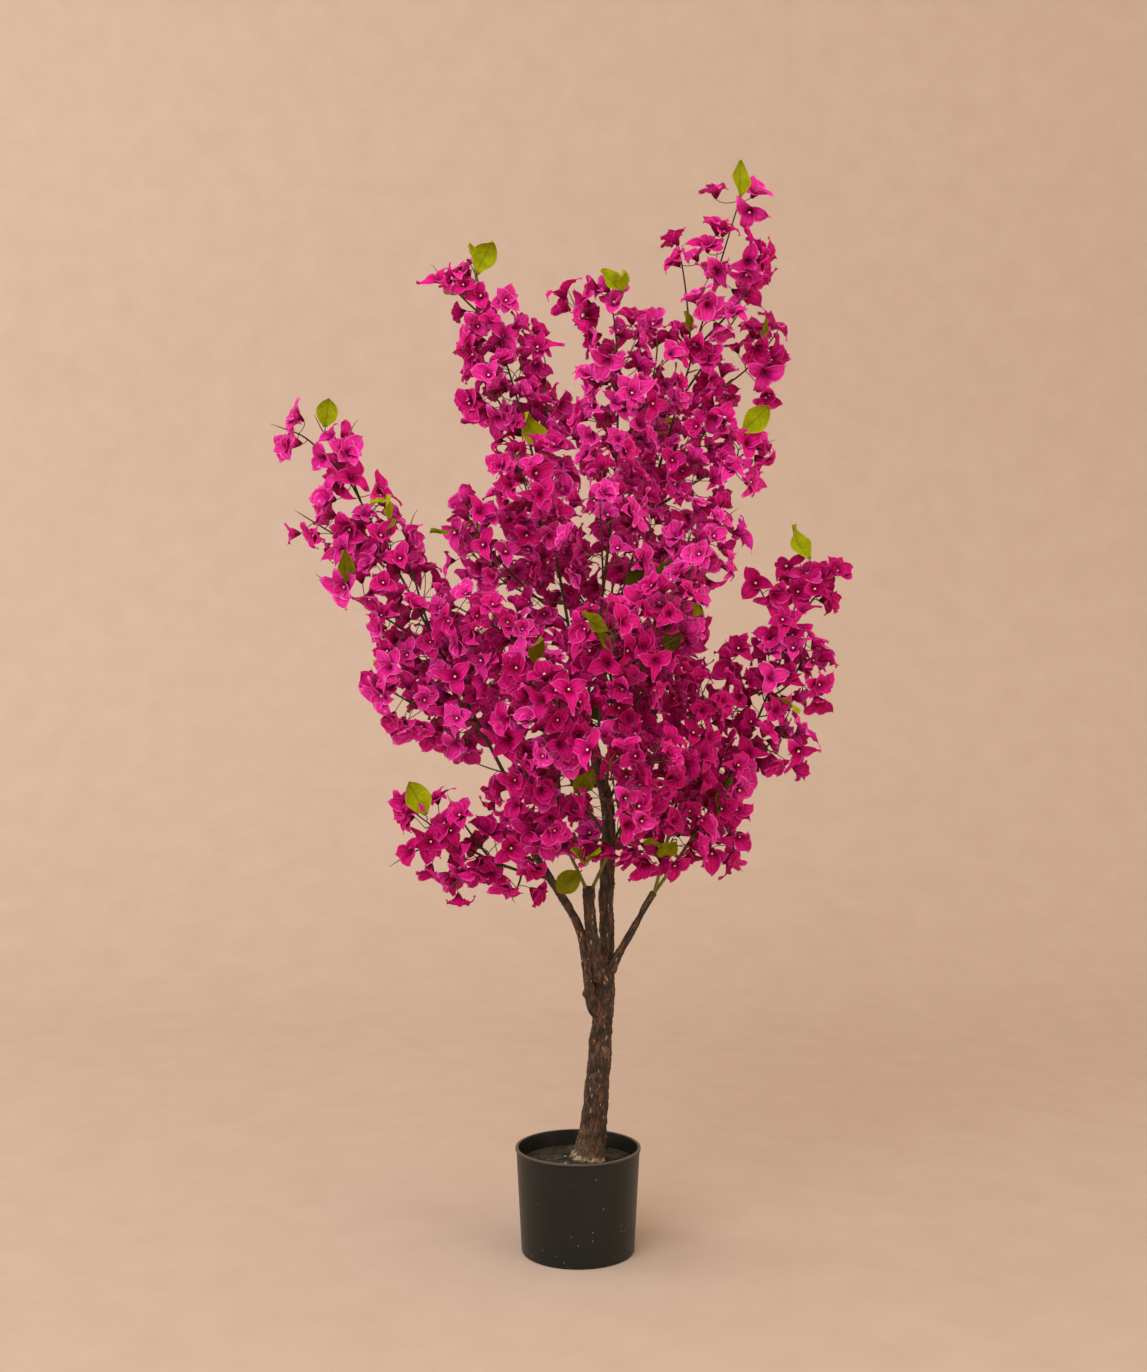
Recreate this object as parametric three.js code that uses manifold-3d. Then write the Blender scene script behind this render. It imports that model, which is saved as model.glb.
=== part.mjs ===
// An artificial bougainvillea tree, 1.2 m tall: a leaning bark-covered trunk set in a filled plastic
// pot, four boughs, and sprays of paper-thin bracts on wiry stems pushed into the boughs' ends.
// Millimetres, +Z up, origin in the middle of the pot's flat underside, front of the tree towards -Y.

import * as THREE from 'three';
import { mergeVertices } from 'three/addons/utils/BufferGeometryUtils.js';
import Module from 'manifold-3d';

const wasm = await Module();
wasm.setup();

// Driving dimensions
const CLEARANCE = 0.3;
const POT_HEIGHT = 114;
const POT_RIM_RADIUS = 69;
const POT_BASE_RADIUS = 62;
const POT_WALL = 2.2;
const POT_LIP_DEPTH = 4;
const POT_LIP_STANDOUT = 1.2;
const POT_BASE_ROUND = 2;
const POT_SIDES = 32;
const FILL_TOP = 98;
const TRUNK_SIDES = 12;
const BOUGH_SIDES = 8;
const STEM_RADIUS = 2.4;
const SIDE_STEM_RADIUS = 2;
const STEM_TIP_RADIUS = 1.7;
const STEM_SIDES = 3;
const STEM_STEP = 60;
const TWIG_ROOT_RADIUS = 0.9;
const TWIG_TIP_RADIUS = 0.8;
const TWIG_PITCH = 22;
const BLOSSOM_RADIUS = 39;
const BLOSSOM_DEPTH = 3.2;
const BLOSSOM_SPACING = 42;
const LEAF_LENGTH = 42;
const LEAF_WIDTH = 30;
const LEAF_THICKNESS = 1.4;
const LEAF_FOLD = 4;
const LEAF_SPACING = 20;

// Trunk and boughs, from foot to end: the points of each axis with the limb's radius there. The trunk
// starts below the fill's surface, where it is cut flat.
const limbs = {
  trunk: {
    sides: TRUNK_SIDES,
    axis: [
      [8, 0, FILL_TOP - 8, 23], [12, 0, 106, 18.5], [15, 0, 120, 16], [17, 0, 136, 14.8],
      [18.5, 0, 155, 13.6], [21, 0, 182, 13.1], [23.5, 0, 210, 12.6], [26, 0, 242, 11.3],
      [28, 0, 268, 11.6], [29, 0, 293, 10.8], [29, 0, 306, 10.4], [29, 1, 314, 9],
    ],
  },
  bough_centre: {
    sides: BOUGH_SIDES,
    axis: [
      [30, 3, 304, 8], [31, 7, 322, 8.3], [32, 9, 352, 7.9], [31, 10, 386, 8.2], [33, 11, 428, 7.8],
      [34, 12, 472, 7.2], [30, 12, 500, 6.9], [24, 12, 525, 6.6], [7, 10, 590, 6],
    ],
  },
  bough_left: {
    sides: BOUGH_SIDES,
    axis: [
      [25, 0, 254, 5], [15, -5, 268, 5.4], [11.5, -7, 292, 4.7], [7, -9, 326, 4.6], [1, -11, 356, 4.6],
      [-11, -13, 380, 4.6], [-31, -16, 411, 4.4], [-50, -18, 444, 4], [-66, -20, 490, 3.6],
      [-79, -22, 524, 3.2],
    ],
  },
  bough_stub: {
    sides: BOUGH_SIDES,
    axis: [
      [28, -3, 288, 6.4], [24, -11, 308, 6.8], [18, -14, 334, 6.6], [14, -15, 358, 6.4],
      [12, -16, 384, 6.5], [12, -16, 402, 6.6],
    ],
  },
  bough_right: {
    sides: BOUGH_SIDES,
    axis: [
      [30, -1, 292, 5.2], [41, -4, 308, 5.2], [47, -5, 330, 4.8], [57, -6, 348, 4.1],
      [69, -7, 370, 3.8], [83, -10, 395, 3.6],
    ],
  },
};

// A limb's section is slightly oval and turns along it, and the trunk's foot has three root swells.
const OVAL = 0.035;
const OVAL_TURN = 0.05;
const ROOT_SWELLS = 3;
const SWELL = 0.13;
const SWELL_HEIGHT = 25;

// Sprays: where each stem is set in its limb, then the arms that it forks into. An arm leaves an
// earlier arm of its spray (from) at a fraction of its length (at), bows past bend and ends at tip.
// reach gives the length of its side twigs near its foot and at its tip, bare the share without any.
const sprays = {
  spray_far_left: {
    root: [-77, -21, 519], seed: 101, arms: [
      { bend: [-180, -38, 720], tip: [-270, -50, 887], reach: [50, 30], bare: 0.12, leaf: true },
      { from: 0, at: 0.85, bend: [-284, -52, 886], tip: [-303, -48, 892], reach: [28, 26], bare: 0.4 },
      { from: 0, at: 0.16, bend: [-160, -45, 590], tip: [-203, -60, 617], reach: [40, 30], bare: 0.2 },
      { from: 0, at: 0.1, bend: [-120, 30, 590], tip: [-185, 62, 668], reach: [46, 38], bare: 0.25 },
      { from: 0, at: 0.35, bend: [-206, -62, 694], tip: [-256, -70, 725], reach: [34, 24], bare: 0.3,
        leaf: true },
      { from: 0, at: 0.6, bend: [-250, -60, 776], tip: [-278, -62, 793], reach: [28, 24], bare: 0.3 },
      { from: 0, at: 0.8, bend: [-250, -52, 862], tip: [-246, -56, 880], reach: [24, 22], bare: 0.3 },
      { from: 0, at: 0.4, bend: [-184, -52, 752], tip: [-180, -54, 784], reach: [30, 24], bare: 0.35 },
    ],
  },
  spray_low_left: {
    root: [-31, -16, 411], seed: 211, arms: [
      { bend: [-100, -30, 424], tip: [-171, -50, 482], reach: [38, 32], bare: 0.25, leaf: true },
      { from: 0, at: 0.22, bend: [-62, -42, 408], tip: [-68, -66, 401], reach: [24, 22], bare: 0.5 },
      { from: 0, at: 0.45, bend: [-116, -48, 462], tip: [-130, -54, 486], reach: [24, 20], bare: 0.35 },
      { from: 0, at: 0.35, bend: [-106, -44, 428], tip: [-124, -54, 416], reach: [28, 24], bare: 0.3 },
      { from: 0, at: 0.7, bend: [-160, -48, 452], tip: [-180, -54, 441], reach: [24, 20], bare: 0.3 },
    ],
  },
  spray_upper_left: {
    root: [4, 11.8, 586], seed: 307, arms: [
      { bend: [-29, 30, 854], tip: [-114, 58, 1082], reach: [44, 34], bare: 0.3, leaf: true },
      { from: 0, at: 0.88, bend: [-132, 56, 1062], tip: [-148, 56, 1079], reach: [26, 24], bare: 0.4 },
      { from: 0, at: 0.5, bend: [-36, 58, 915], tip: [-37, 70, 986], reach: [36, 30], bare: 0.25 },
      { from: 0, at: 0.6, bend: [-94, 40, 946], tip: [-117, 40, 982], reach: [30, 26], bare: 0.2 },
      { from: 0, at: 0.2, bend: [-80, -34, 740], tip: [-112, -60, 792], reach: [42, 32], bare: 0.3 },
      { from: 0, at: 0.1, bend: [-60, -58, 668], tip: [-121, -90, 700], reach: [42, 36], bare: 0.4 },
      { from: 0, at: 0.35, bend: [-42, -50, 790], tip: [-61, -90, 846], reach: [40, 34], bare: 0.3,
        leaf: true },
      { from: 0, at: 0.24, bend: [-70, 80, 720], tip: [-120, 110, 772], reach: [42, 36], bare: 0.35 },
    ],
  },
  spray_top_centre: {
    root: [7, 6.5, 586], seed: 401, arms: [
      { bend: [58, -50, 900], tip: [36, -70, 1020], reach: [44, 34], bare: 0.32, leaf: true },
      { from: 0, at: 0.55, bend: [80, -30, 920], tip: [86, -20, 986], reach: [36, 32], bare: 0.2 },
      { from: 0, at: 0.7, bend: [16, -68, 980], tip: [0, -66, 1016], reach: [30, 26], bare: 0.2 },
      { from: 0, at: 0.24, bend: [26, -75, 748], tip: [22, -115, 812], reach: [42, 38], bare: 0.35 },
    ],
  },
  spray_top_right: {
    root: [10, 11.8, 586], seed: 503, arms: [
      { bend: [90, 26, 868], tip: [176, -16, 1150], reach: [44, 30], bare: 0.25, leaf: true },
      { from: 0, at: 0.7, bend: [122, 16, 1056], tip: [115, 26, 1098], reach: [28, 24], bare: 0.4 },
      { from: 0, at: 0.72, bend: [186, -12, 1046], tip: [200, -20, 1078], reach: [26, 24], bare: 0.25 },
      { from: 0, at: 0.62, bend: [177, 40, 950], tip: [219, 48, 1012], reach: [32, 28], bare: 0.25 },
      { from: 0, at: 0.4, bend: [132, -25, 846], tip: [186, -50, 873], reach: [38, 34], bare: 0.3,
        leaf: true },
      { from: 0, at: 0.2, bend: [102, -30, 742], tip: [149, -60, 792], reach: [42, 34], bare: 0.35 },
      { from: 0, at: 0.44, bend: [130, -8, 884], tip: [150, -26, 912], reach: [32, 28], bare: 0.25 },
      { from: 0, at: 0.62, bend: [156, 12, 1000], tip: [172, 4, 1024], reach: [26, 22], bare: 0.3 },
    ],
  },
  spray_right_far: {
    root: [80.5, -7.5, 390], seed: 601, arms: [
      { bend: [224, 16, 580], tip: [250, 40, 743], reach: [32, 38], bare: 0.12, leaf: true },
      { from: 0, at: 0.82, bend: [263, 38, 718], tip: [284, 36, 740], reach: [28, 26], bare: 0.4 },
      { from: 0, at: 0.6, bend: [242, 20, 616], tip: [252, 18, 662], reach: [36, 28], bare: 0.2 },
      { from: 0, at: 0.75, bend: [220, 26, 694], tip: [204, 20, 726], reach: [26, 22], bare: 0.3 },
      { from: 0, at: 0.4, bend: [205, 0, 540], tip: [227, 4, 580], reach: [36, 34], bare: 0.3 },
      { from: 0, at: 0.5, bend: [184, 4, 600], tip: [169, 4, 648], reach: [34, 28], bare: 0.3 },
      { from: 0, at: 0.3, bend: [166, -8, 478], tip: [170, -14, 442], reach: [30, 26], bare: 0.2 },
      { from: 0, at: 0.25, bend: [150, 70, 500], tip: [161, 120, 524], reach: [42, 36], bare: 0.25 },
    ],
  },
  spray_right_inner: {
    root: [82.5, -11.5, 390], seed: 701, arms: [
      { bend: [112, -44, 520], tip: [130, -66, 606], reach: [40, 34], bare: 0.25 },
      { from: 0, at: 0.16, bend: [96, -48, 440], tip: [98, -82, 458], reach: [36, 34], bare: 0.3 },
    ],
  },
  spray_front_left: {
    root: [9.5, -17, 398], seed: 809, arms: [
      { bend: [-20, -80, 470], tip: [-62, -120, 545], reach: [40, 38], bare: 0.4 },
      { from: 0, at: 0.5, bend: [-16, -140, 560], tip: [-20, -180, 617], reach: [40, 38], bare: 0.3 },
      { from: 0, at: 0.35, bend: [-34, -68, 456], tip: [-54, -88, 452], reach: [32, 28], bare: 0.3 },
    ],
  },
  spray_front_right: {
    root: [14.5, -17, 398], seed: 907, arms: [
      { bend: [44, -80, 470], tip: [80, -140, 561], reach: [40, 38], bare: 0.4, leaf: true },
      { from: 0, at: 0.5, bend: [40, -140, 500], tip: [31, -190, 540], reach: [40, 36], bare: 0.3 },
      { from: 0, at: 0.35, bend: [54, -72, 450], tip: [72, -96, 446], reach: [32, 28], bare: 0.3 },
    ],
  },
  spray_front_mid: {
    root: [30, 12, 500], seed: 1009, arms: [
      { bend: [40, -90, 600], tip: [28, -180, 690], reach: [44, 42], bare: 0.35, leaf: true },
      { from: 0, at: 0.45, bend: [72, -112, 640], tip: [88, -150, 700], reach: [42, 38], bare: 0.25 },
      { from: 0, at: 0.3, bend: [92, -60, 640], tip: [117, -88, 740], reach: [42, 40], bare: 0.3 },
      { from: 0, at: 0.35, bend: [-20, -84, 600], tip: [-60, -110, 630], reach: [42, 38], bare: 0.3 },
    ],
  },
  spray_back_left: {
    root: [33, 11, 450], seed: 1103, arms: [
      { bend: [-30, 90, 540], tip: [-95, 190, 677], reach: [48, 42], bare: 0.3, leaf: true },
      { from: 0, at: 0.35, bend: [-70, 90, 510], tip: [-121, 126, 530], reach: [42, 36], bare: 0.3 },
    ],
  },
  spray_back_right: {
    root: [31, 12, 490], seed: 1201, arms: [
      { bend: [80, 90, 560], tip: [128, 190, 680], reach: [48, 42], bare: 0.35, leaf: true },
      { from: 0, at: 0.5, bend: [70, 150, 580], tip: [56, 206, 610], reach: [44, 40], bare: 0.25 },
    ],
  },
  spray_back_top: {
    root: [19, 11, 545], seed: 1301, arms: [
      { bend: [40, 110, 700], tip: [51, 165, 869], reach: [46, 42], bare: 0.3, leaf: true },
      { from: 0, at: 0.45, bend: [-20, 120, 740], tip: [-44, 140, 819], reach: [44, 38], bare: 0.25 },
      { from: 0, at: 0.6, bend: [90, 110, 860], tip: [92, 100, 930], reach: [42, 36], bare: 0.25 },
      { from: 0, at: 0.35, bend: [100, 110, 700], tip: [130, 120, 790], reach: [44, 38], bare: 0.25 },
    ],
  },
  spray_back_low: {
    root: [32, 10, 420], seed: 1409, arms: [
      { bend: [35, 90, 430], tip: [30, 170, 490], reach: [42, 40], bare: 0.35 },
      { from: 0, at: 0.5, bend: [-20, 120, 440], tip: [-56, 130, 450], reach: [38, 34], bare: 0.3,
        leaf: true },
    ],
  },
};

// How twigs are borne. Their angle to the stem closes towards its tip, a twig is between its shortest
// share and the whole of the reach there, and one that doesn't fit is tried shorter or smaller.
const GOLDEN_ANGLE = Math.PI * (3 - Math.sqrt(5));
const TURN_PLAY = 0.5;
const TWIG_ANGLE_FOOT = THREE.MathUtils.degToRad(72);
const TWIG_ANGLE_TIP = THREE.MathUtils.degToRad(48);
const END_TWIG_ANGLE = THREE.MathUtils.degToRad(14);
const SHORTEST_TWIG = 0.55;
const END_TWIG_SHARE = 0.4;
const LEAF_TWIG_SHARE = 0.6;
const TWIG_TRIES = [[1, 1], [0.75, 1], [1, 0.75], [0.75, 0.75], [0.5, 0.75]];
const LEAF_EVERY = 9;
const FIRST_LEAF = 4;
const FULL_REACH = 42;
const SMALLEST_SHARE = 0.7;
const SIZE_PLAY = 0.2;
const FACING_OUT = 0.3;
const FACING_PLAY = 0.9;
const SPACE_STEP = 5;
const SPACE_MARGIN = 2.2;
const LIMB_MARGIN = 2.5;
const SEED_STEP = 3331;

// The outline of one bract: turn from its middle line, and reach and lift as shares of the radius.
const BRACT_TURN = THREE.MathUtils.degToRad(37);
const BRACT_OUTLINE = [[-BRACT_TURN, 0.72, 0.22], [0, 1, 0.34], [BRACT_TURN, 0.72, 0.22]];

const vector = ([x, y, z]) => new THREE.Vector3(x, y, z);

function seededRandom(seed) {
  let state = seed * SEED_STEP;
  return () => {
    state = (state * 16807) % 2147483647;
    return state / 2147483647;
  };
}

function geometryFrom(points, faces) {
  const geometry = new THREE.BufferGeometry();
  const numbers = points.flatMap(({ x, y, z }) => [x, y, z]);
  geometry.setAttribute('position', new THREE.Float32BufferAttribute(numbers, 3));
  geometry.setIndex(faces.flat());
  return geometry;
}

// A closed mesh as a solid, its shared points merged and the slivers at a lathe's axis left out.
function toSolid(geometry) {
  const bare = geometry.clone();
  bare.deleteAttribute('normal');
  bare.deleteAttribute('uv');
  const merged = mergeVertices(bare, 1e-4);
  const index = merged.index.array;
  const kept = [];
  for (let i = 0; i < index.length; i += 3) {
    const [a, b, c] = [index[i], index[i + 1], index[i + 2]];
    if (a !== b && b !== c && c !== a) kept.push(a, b, c);
  }
  return new wasm.Manifold(new wasm.Mesh({
    numProp: 3,
    vertProperties: new Float32Array(merged.attributes.position.array),
    triVerts: new Uint32Array(kept),
  }));
}

function toGeometry(solid) {
  const mesh = solid.getMesh();
  const geometry = new THREE.BufferGeometry();
  geometry.setAttribute('position', new THREE.BufferAttribute(new Float32Array(mesh.vertProperties), 3));
  geometry.setIndex(new THREE.BufferAttribute(new Uint32Array(mesh.triVerts), 1));
  geometry.computeVertexNormals();
  return geometry;
}

function largestPiece(solid) {
  return solid.decompose().reduce((best, piece) => (piece.volume() > best.volume() ? piece : best));
}

// The place and direction a share of the way along a chain of points.
function placeAlong(path, share) {
  const reached = share * (path.length - 1);
  const link = Math.min(Math.floor(reached), path.length - 2);
  return {
    place: path[link].clone().lerp(path[link + 1], reached - link),
    direction: path[link + 1].clone().sub(path[link]).normalize(),
  };
}

// A direction square to another one.
function squareTo(direction) {
  const guide = Math.abs(direction.z) > 0.9 ? new THREE.Vector3(1, 0, 0) : new THREE.Vector3(0, 0, 1);
  return guide.cross(direction).normalize();
}

// A tapering limb with a flat cut at each end: a ring of points square to the path at each of its
// points. grow makes the same limb thicker and longer, to cut a seat in what rests against it.
function loft(path, radii, sides, grow = 0, section = () => 1) {
  const last = path.length - 1;
  const points = [];
  const faces = [];
  let across = null;
  path.forEach((centre, ring) => {
    const forward = path[Math.min(ring + 1, last)].clone().sub(path[Math.max(ring - 1, 0)]).normalize();
    across = across ? across.addScaledVector(forward, -across.dot(forward)).normalize() : squareTo(forward);
    const third = forward.clone().cross(across);
    const shift = ring === 0 ? -grow : ring === last ? grow : 0;
    for (let side = 0; side < sides; side++) {
      const angle = (2 * Math.PI * side) / sides;
      const radius = radii[ring] * section(angle, centre.z) + grow / Math.cos(Math.PI / sides);
      points.push(centre.clone()
        .addScaledVector(forward, shift)
        .addScaledVector(across, radius * Math.cos(angle))
        .addScaledVector(third, radius * Math.sin(angle)));
    }
  });
  for (let ring = 0; ring < last; ring++) {
    for (let side = 0; side < sides; side++) {
      const a = ring * sides + side;
      const b = ring * sides + ((side + 1) % sides);
      faces.push([a, b, b + sides], [a, b + sides, a + sides]);
    }
  }
  const top = last * sides;
  for (let side = 1; side < sides - 1; side++) {
    faces.push([0, side + 1, side], [top, top + side, top + side + 1]);
  }
  return toSolid(geometryFrom(points, faces));
}

// Each bough is seated on the limbs before it, with the clearance between them.
function limbSolid({ path, radii, sides }, grow = 0) {
  const section = (angle, height) => 1 + OVAL * Math.sin(2 * angle + OVAL_TURN * height)
    + SWELL * Math.exp(-(height - FILL_TOP) / SWELL_HEIGHT) * Math.cos(ROOT_SWELLS * angle);
  return loft(path, radii, sides, grow, section);
}
const belowTrunk = new THREE.BoxGeometry(2 * POT_RIM_RADIUS, 2 * POT_RIM_RADIUS, POT_HEIGHT);
belowTrunk.translate(0, 0, FILL_TOP + CLEARANCE - POT_HEIGHT / 2);
const limbSolids = {};
const limbSeats = [];
for (const [name, limb] of Object.entries(limbs)) {
  limb.path = limb.axis.map(vector);
  limb.radii = limb.axis.map(([, , , radius]) => radius);
  let solid = limbSolid(limb).subtract(toSolid(belowTrunk));
  for (const seat of limbSeats) solid = solid.subtract(seat);
  limbSolids[name] = largestPiece(solid);
  limbSeats.push(limbSolid(limb, CLEARANCE));
}

function lathe(profile) {
  const geometry = new THREE.LatheGeometry(profile.map(([r, z]) => new THREE.Vector2(r, z)), POT_SIDES);
  geometry.rotateX(Math.PI / 2);
  return toSolid(geometry);
}

// The pot: a thin tapered shell with a closed bottom, a rounded lower edge and a short lip.
const potWallTop = POT_RIM_RADIUS - POT_LIP_STANDOUT;
const potInside = (z) => THREE.MathUtils.lerp(POT_BASE_RADIUS, potWallTop, z / POT_HEIGHT) - POT_WALL;
const potSolid = lathe([
  [0, 0],
  [POT_BASE_RADIUS - POT_BASE_ROUND, 0],
  [POT_BASE_RADIUS, POT_BASE_ROUND],
  [potWallTop, POT_HEIGHT - POT_LIP_DEPTH],
  [POT_RIM_RADIUS, POT_HEIGHT - POT_LIP_DEPTH + POT_LIP_STANDOUT],
  [POT_RIM_RADIUS, POT_HEIGHT],
  [potInside(POT_HEIGHT), POT_HEIGHT],
  [potInside(POT_WALL), POT_WALL],
  [0, POT_WALL],
]);

// The fill: the cement that holds the trunk's foot, cast to the inside of the pot.
const fillFoot = POT_WALL + CLEARANCE;
const fillSolid = lathe([
  [0, fillFoot],
  [potInside(fillFoot) - CLEARANCE, fillFoot],
  [potInside(FILL_TOP) - CLEARANCE, FILL_TOP],
  [0, FILL_TOP],
]);

// The arms of every spray as chains of points, and the points that mark out each spray's own space.
for (const spray of Object.values(sprays)) {
  spray.space = [];
  for (const arm of spray.arms) {
    const parent = spray.arms[arm.from];
    const foot = parent ? placeAlong(parent.path, arm.at).place : vector(spray.root);
    const curve = new THREE.QuadraticBezierCurve3(foot, vector(arm.bend), vector(arm.tip));
    arm.length = curve.getLength();
    arm.path = curve.getPoints(Math.max(2, Math.round(arm.length / STEM_STEP)));
    arm.footRadius = parent ? SIDE_STEM_RADIUS : STEM_RADIUS;
    const steps = Math.ceil(arm.length / SPACE_STEP);
    for (let i = 0; i <= steps; i++) spray.space.push(placeAlong(arm.path, i / steps).place);
  }
}
const limbSpace = [];
for (const { path, radii } of Object.values(limbs)) {
  for (let ring = 1; ring < path.length; ring++) {
    const steps = Math.ceil(path[ring].distanceTo(path[ring - 1]) / SPACE_STEP);
    for (let i = 0; i <= steps; i++) {
      const place = path[ring - 1].clone().lerp(path[ring], i / steps);
      limbSpace.push({ place, radius: THREE.MathUtils.lerp(radii[ring - 1], radii[ring], i / steps) });
    }
  }
}

function distanceToNearest(point, others) {
  let best = Infinity;
  for (const other of others) best = Math.min(best, point.distanceToSquared(other));
  return Math.sqrt(best);
}

// A twig fits where every point of it is nearer to its own spray's arms than to any other spray's,
// clear of the limbs, and not on top of a blossom or leaf that is there already.
function fits({ centre, checked }, spacing, spray, placed) {
  if (placed.some((other) => other.distanceTo(centre) < spacing)) return false;
  const others = Object.values(sprays).filter((other) => other !== spray);
  return checked.every((point) => {
    if (limbSpace.some(({ place, radius }) => point.distanceTo(place) < radius + LIMB_MARGIN)) return false;
    const own = distanceToNearest(point, spray.space);
    return others.every((other) => distanceToNearest(point, other.space) > own + SPACE_MARGIN);
  });
}

// One blossom on its twig, a single closed body: three cupped bracts round the end of a three-sided
// twig whose foot is sunk in the stem.
function blossomOnTwig(foot, centre, facing, spin, radius) {
  const forward = centre.clone().sub(foot).normalize();
  const side = squareTo(facing);
  const other = facing.clone().cross(side);
  const at = (angle, reach, lift) => centre.clone()
    .addScaledVector(side, reach * Math.cos(angle))
    .addScaledVector(other, reach * Math.sin(angle))
    .addScaledVector(facing, lift);
  const [rim, neck, root] = [[], [], []];
  for (let bract = 0; bract < 3; bract++) {
    const middle = spin + (2 * Math.PI * bract) / 3;
    for (const [turn, reach, lift] of BRACT_OUTLINE) {
      rim.push(at(middle + turn, reach * radius, lift * radius));
    }
    neck.push(at(middle, TWIG_TIP_RADIUS, 0));
    const outward = at(middle, 1, 0).sub(centre);
    outward.addScaledVector(forward, -outward.dot(forward)).normalize();
    root.push(foot.clone().addScaledVector(outward, TWIG_ROOT_RADIUS));
  }
  const points = [...rim, ...neck, ...root, at(0, 0, BLOSSOM_DEPTH)];
  const heart = points.length - 1;
  const faces = [[12, 14, 13]];
  for (let i = 0; i < rim.length; i++) faces.push([heart, i, (i + 1) % rim.length]);
  for (let bract = 0; bract < 3; bract++) {
    const next = (bract + 1) % 3;
    const [left, tip, right, over] = [3 * bract, 3 * bract + 1, 3 * bract + 2, 3 * next];
    const [neckHere, neckNext, rootHere, rootNext] = [9 + bract, 9 + next, 12 + bract, 12 + next];
    faces.push([neckHere, tip, left], [neckHere, right, tip]);
    faces.push([neckHere, over, right], [neckHere, neckNext, over]);
    faces.push([rootHere, rootNext, neckNext], [rootHere, neckNext, neckHere]);
  }
  const checked = [...rim, foot.clone().lerp(centre, 1 / 3), foot.clone().lerp(centre, 2 / 3)];
  return { centre, checked, solid: () => toSolid(geometryFrom(points, faces)) };
}

// One leaf on its twig, a single closed body: a pointed blade slightly folded along its middle.
function leafOnTwig(foot, base, forward, side) {
  const up = side.clone().cross(forward);
  const at = (length, width, height) => base.clone()
    .addScaledVector(forward, length * LEAF_LENGTH)
    .addScaledVector(side, width * LEAF_WIDTH)
    .addScaledVector(up, height);
  const blade = [at(0.42, 0.5, LEAF_FOLD), at(1, 0, LEAF_FOLD), at(0.42, -0.5, LEAF_FOLD),
    at(0.45, 0, LEAF_THICKNESS / 2), at(0.45, 0, -LEAF_THICKNESS / 2)];
  const ring = (centre, radius) => [1 / 4, 7 / 12, 11 / 12].map((turn) => centre.clone()
    .addScaledVector(side, radius * Math.cos(2 * Math.PI * turn))
    .addScaledVector(up, radius * Math.sin(2 * Math.PI * turn)));
  const points = [...blade, ...ring(base, TWIG_TIP_RADIUS), ...ring(foot, TWIG_ROOT_RADIUS)];
  const faces = [
    [0, 3, 5], [5, 3, 2], [0, 1, 3], [1, 2, 3], [0, 4, 1], [1, 4, 2],
    [0, 5, 7], [2, 6, 5], [0, 7, 4], [2, 4, 6], [4, 7, 6],
    [5, 6, 9], [5, 9, 8], [6, 7, 10], [6, 10, 9], [7, 5, 8], [7, 8, 10], [8, 9, 10],
  ];
  const checked = [...blade, foot.clone().lerp(base, 1 / 2)];
  return { centre: at(1 / 2, 0, 0), checked, solid: () => toSolid(geometryFrom(points, faces)) };
}

// Grows one spray: its arms, then from each arm's tip to its foot side twigs at an even pitch, turned
// by the golden angle each time. Every so many of them bears a leaf in place of a blossom.
function growSpray(spray) {
  const random = seededRandom(spray.seed);
  const placed = [];
  let solid = null;
  for (const { path, footRadius } of spray.arms) {
    const last = path.length - 1;
    const radii = path.map((_, ring) => THREE.MathUtils.lerp(footRadius, STEM_TIP_RADIUS, ring / last));
    const stem = loft(path, radii, STEM_SIDES);
    solid = solid ? solid.add(stem) : stem;
  }
  let count = 0;
  for (const arm of spray.arms) {
    const pitch = (TWIG_PITCH * (arm.reach[0] + arm.reach[1])) / (2 * FULL_REACH);
    const twigs = Math.round((arm.length * (1 - arm.bare)) / pitch);
    for (let i = twigs; i >= 0; i--) {
      count += 1;
      const atEnd = i === twigs;
      const bearsLeaf = atEnd ? arm.leaf : count % LEAF_EVERY === FIRST_LEAF;
      const t = arm.bare + (1 - arm.bare) * (i / twigs);
      const { place: foot, direction } = placeAlong(arm.path, t);
      const across = squareTo(direction);
      const turn = count * GOLDEN_ANGLE + TURN_PLAY * random();
      const outward = direction.clone().cross(across).multiplyScalar(Math.sin(turn))
        .addScaledVector(across, Math.cos(turn));
      const angle = atEnd ? END_TWIG_ANGLE : THREE.MathUtils.lerp(TWIG_ANGLE_FOOT, TWIG_ANGLE_TIP, t);
      const forward = direction.clone().multiplyScalar(Math.cos(angle))
        .addScaledVector(outward, Math.sin(angle));
      const reach = THREE.MathUtils.lerp(arm.reach[0], arm.reach[1], t);
      const share = THREE.MathUtils.clamp(reach / FULL_REACH, SMALLEST_SHARE, 1);
      const length = reach * (SHORTEST_TWIG + (1 - SHORTEST_TWIG) * random())
        * (atEnd ? END_TWIG_SHARE : 1) * (bearsLeaf ? LEAF_TWIG_SHARE : 1);
      const play = vector([random() - 0.5, random() - 0.5, random() - 0.5]);
      const facing = forward.clone().addScaledVector(outward, atEnd ? 0 : FACING_OUT)
        .addScaledVector(play, FACING_PLAY).normalize();
      const spin = 2 * Math.PI * random();
      const radius = BLOSSOM_RADIUS * share * (1 + SIZE_PLAY * (random() - 0.5));
      for (const [lengthShare, radiusShare] of TWIG_TRIES) {
        const end = foot.clone().addScaledVector(forward, length * lengthShare);
        const piece = bearsLeaf
          ? leafOnTwig(foot, end, forward, facing.clone().cross(forward).normalize())
          : blossomOnTwig(foot, end, facing, spin, radius * radiusShare);
        if (fits(piece, bearsLeaf ? LEAF_SPACING : BLOSSOM_SPACING * share, spray, placed)) {
          placed.push(piece.centre);
          solid = solid.add(piece.solid());
          break;
        }
      }
    }
  }
  for (const seat of limbSeats) solid = solid.subtract(seat);
  return largestPiece(solid);
}

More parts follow.
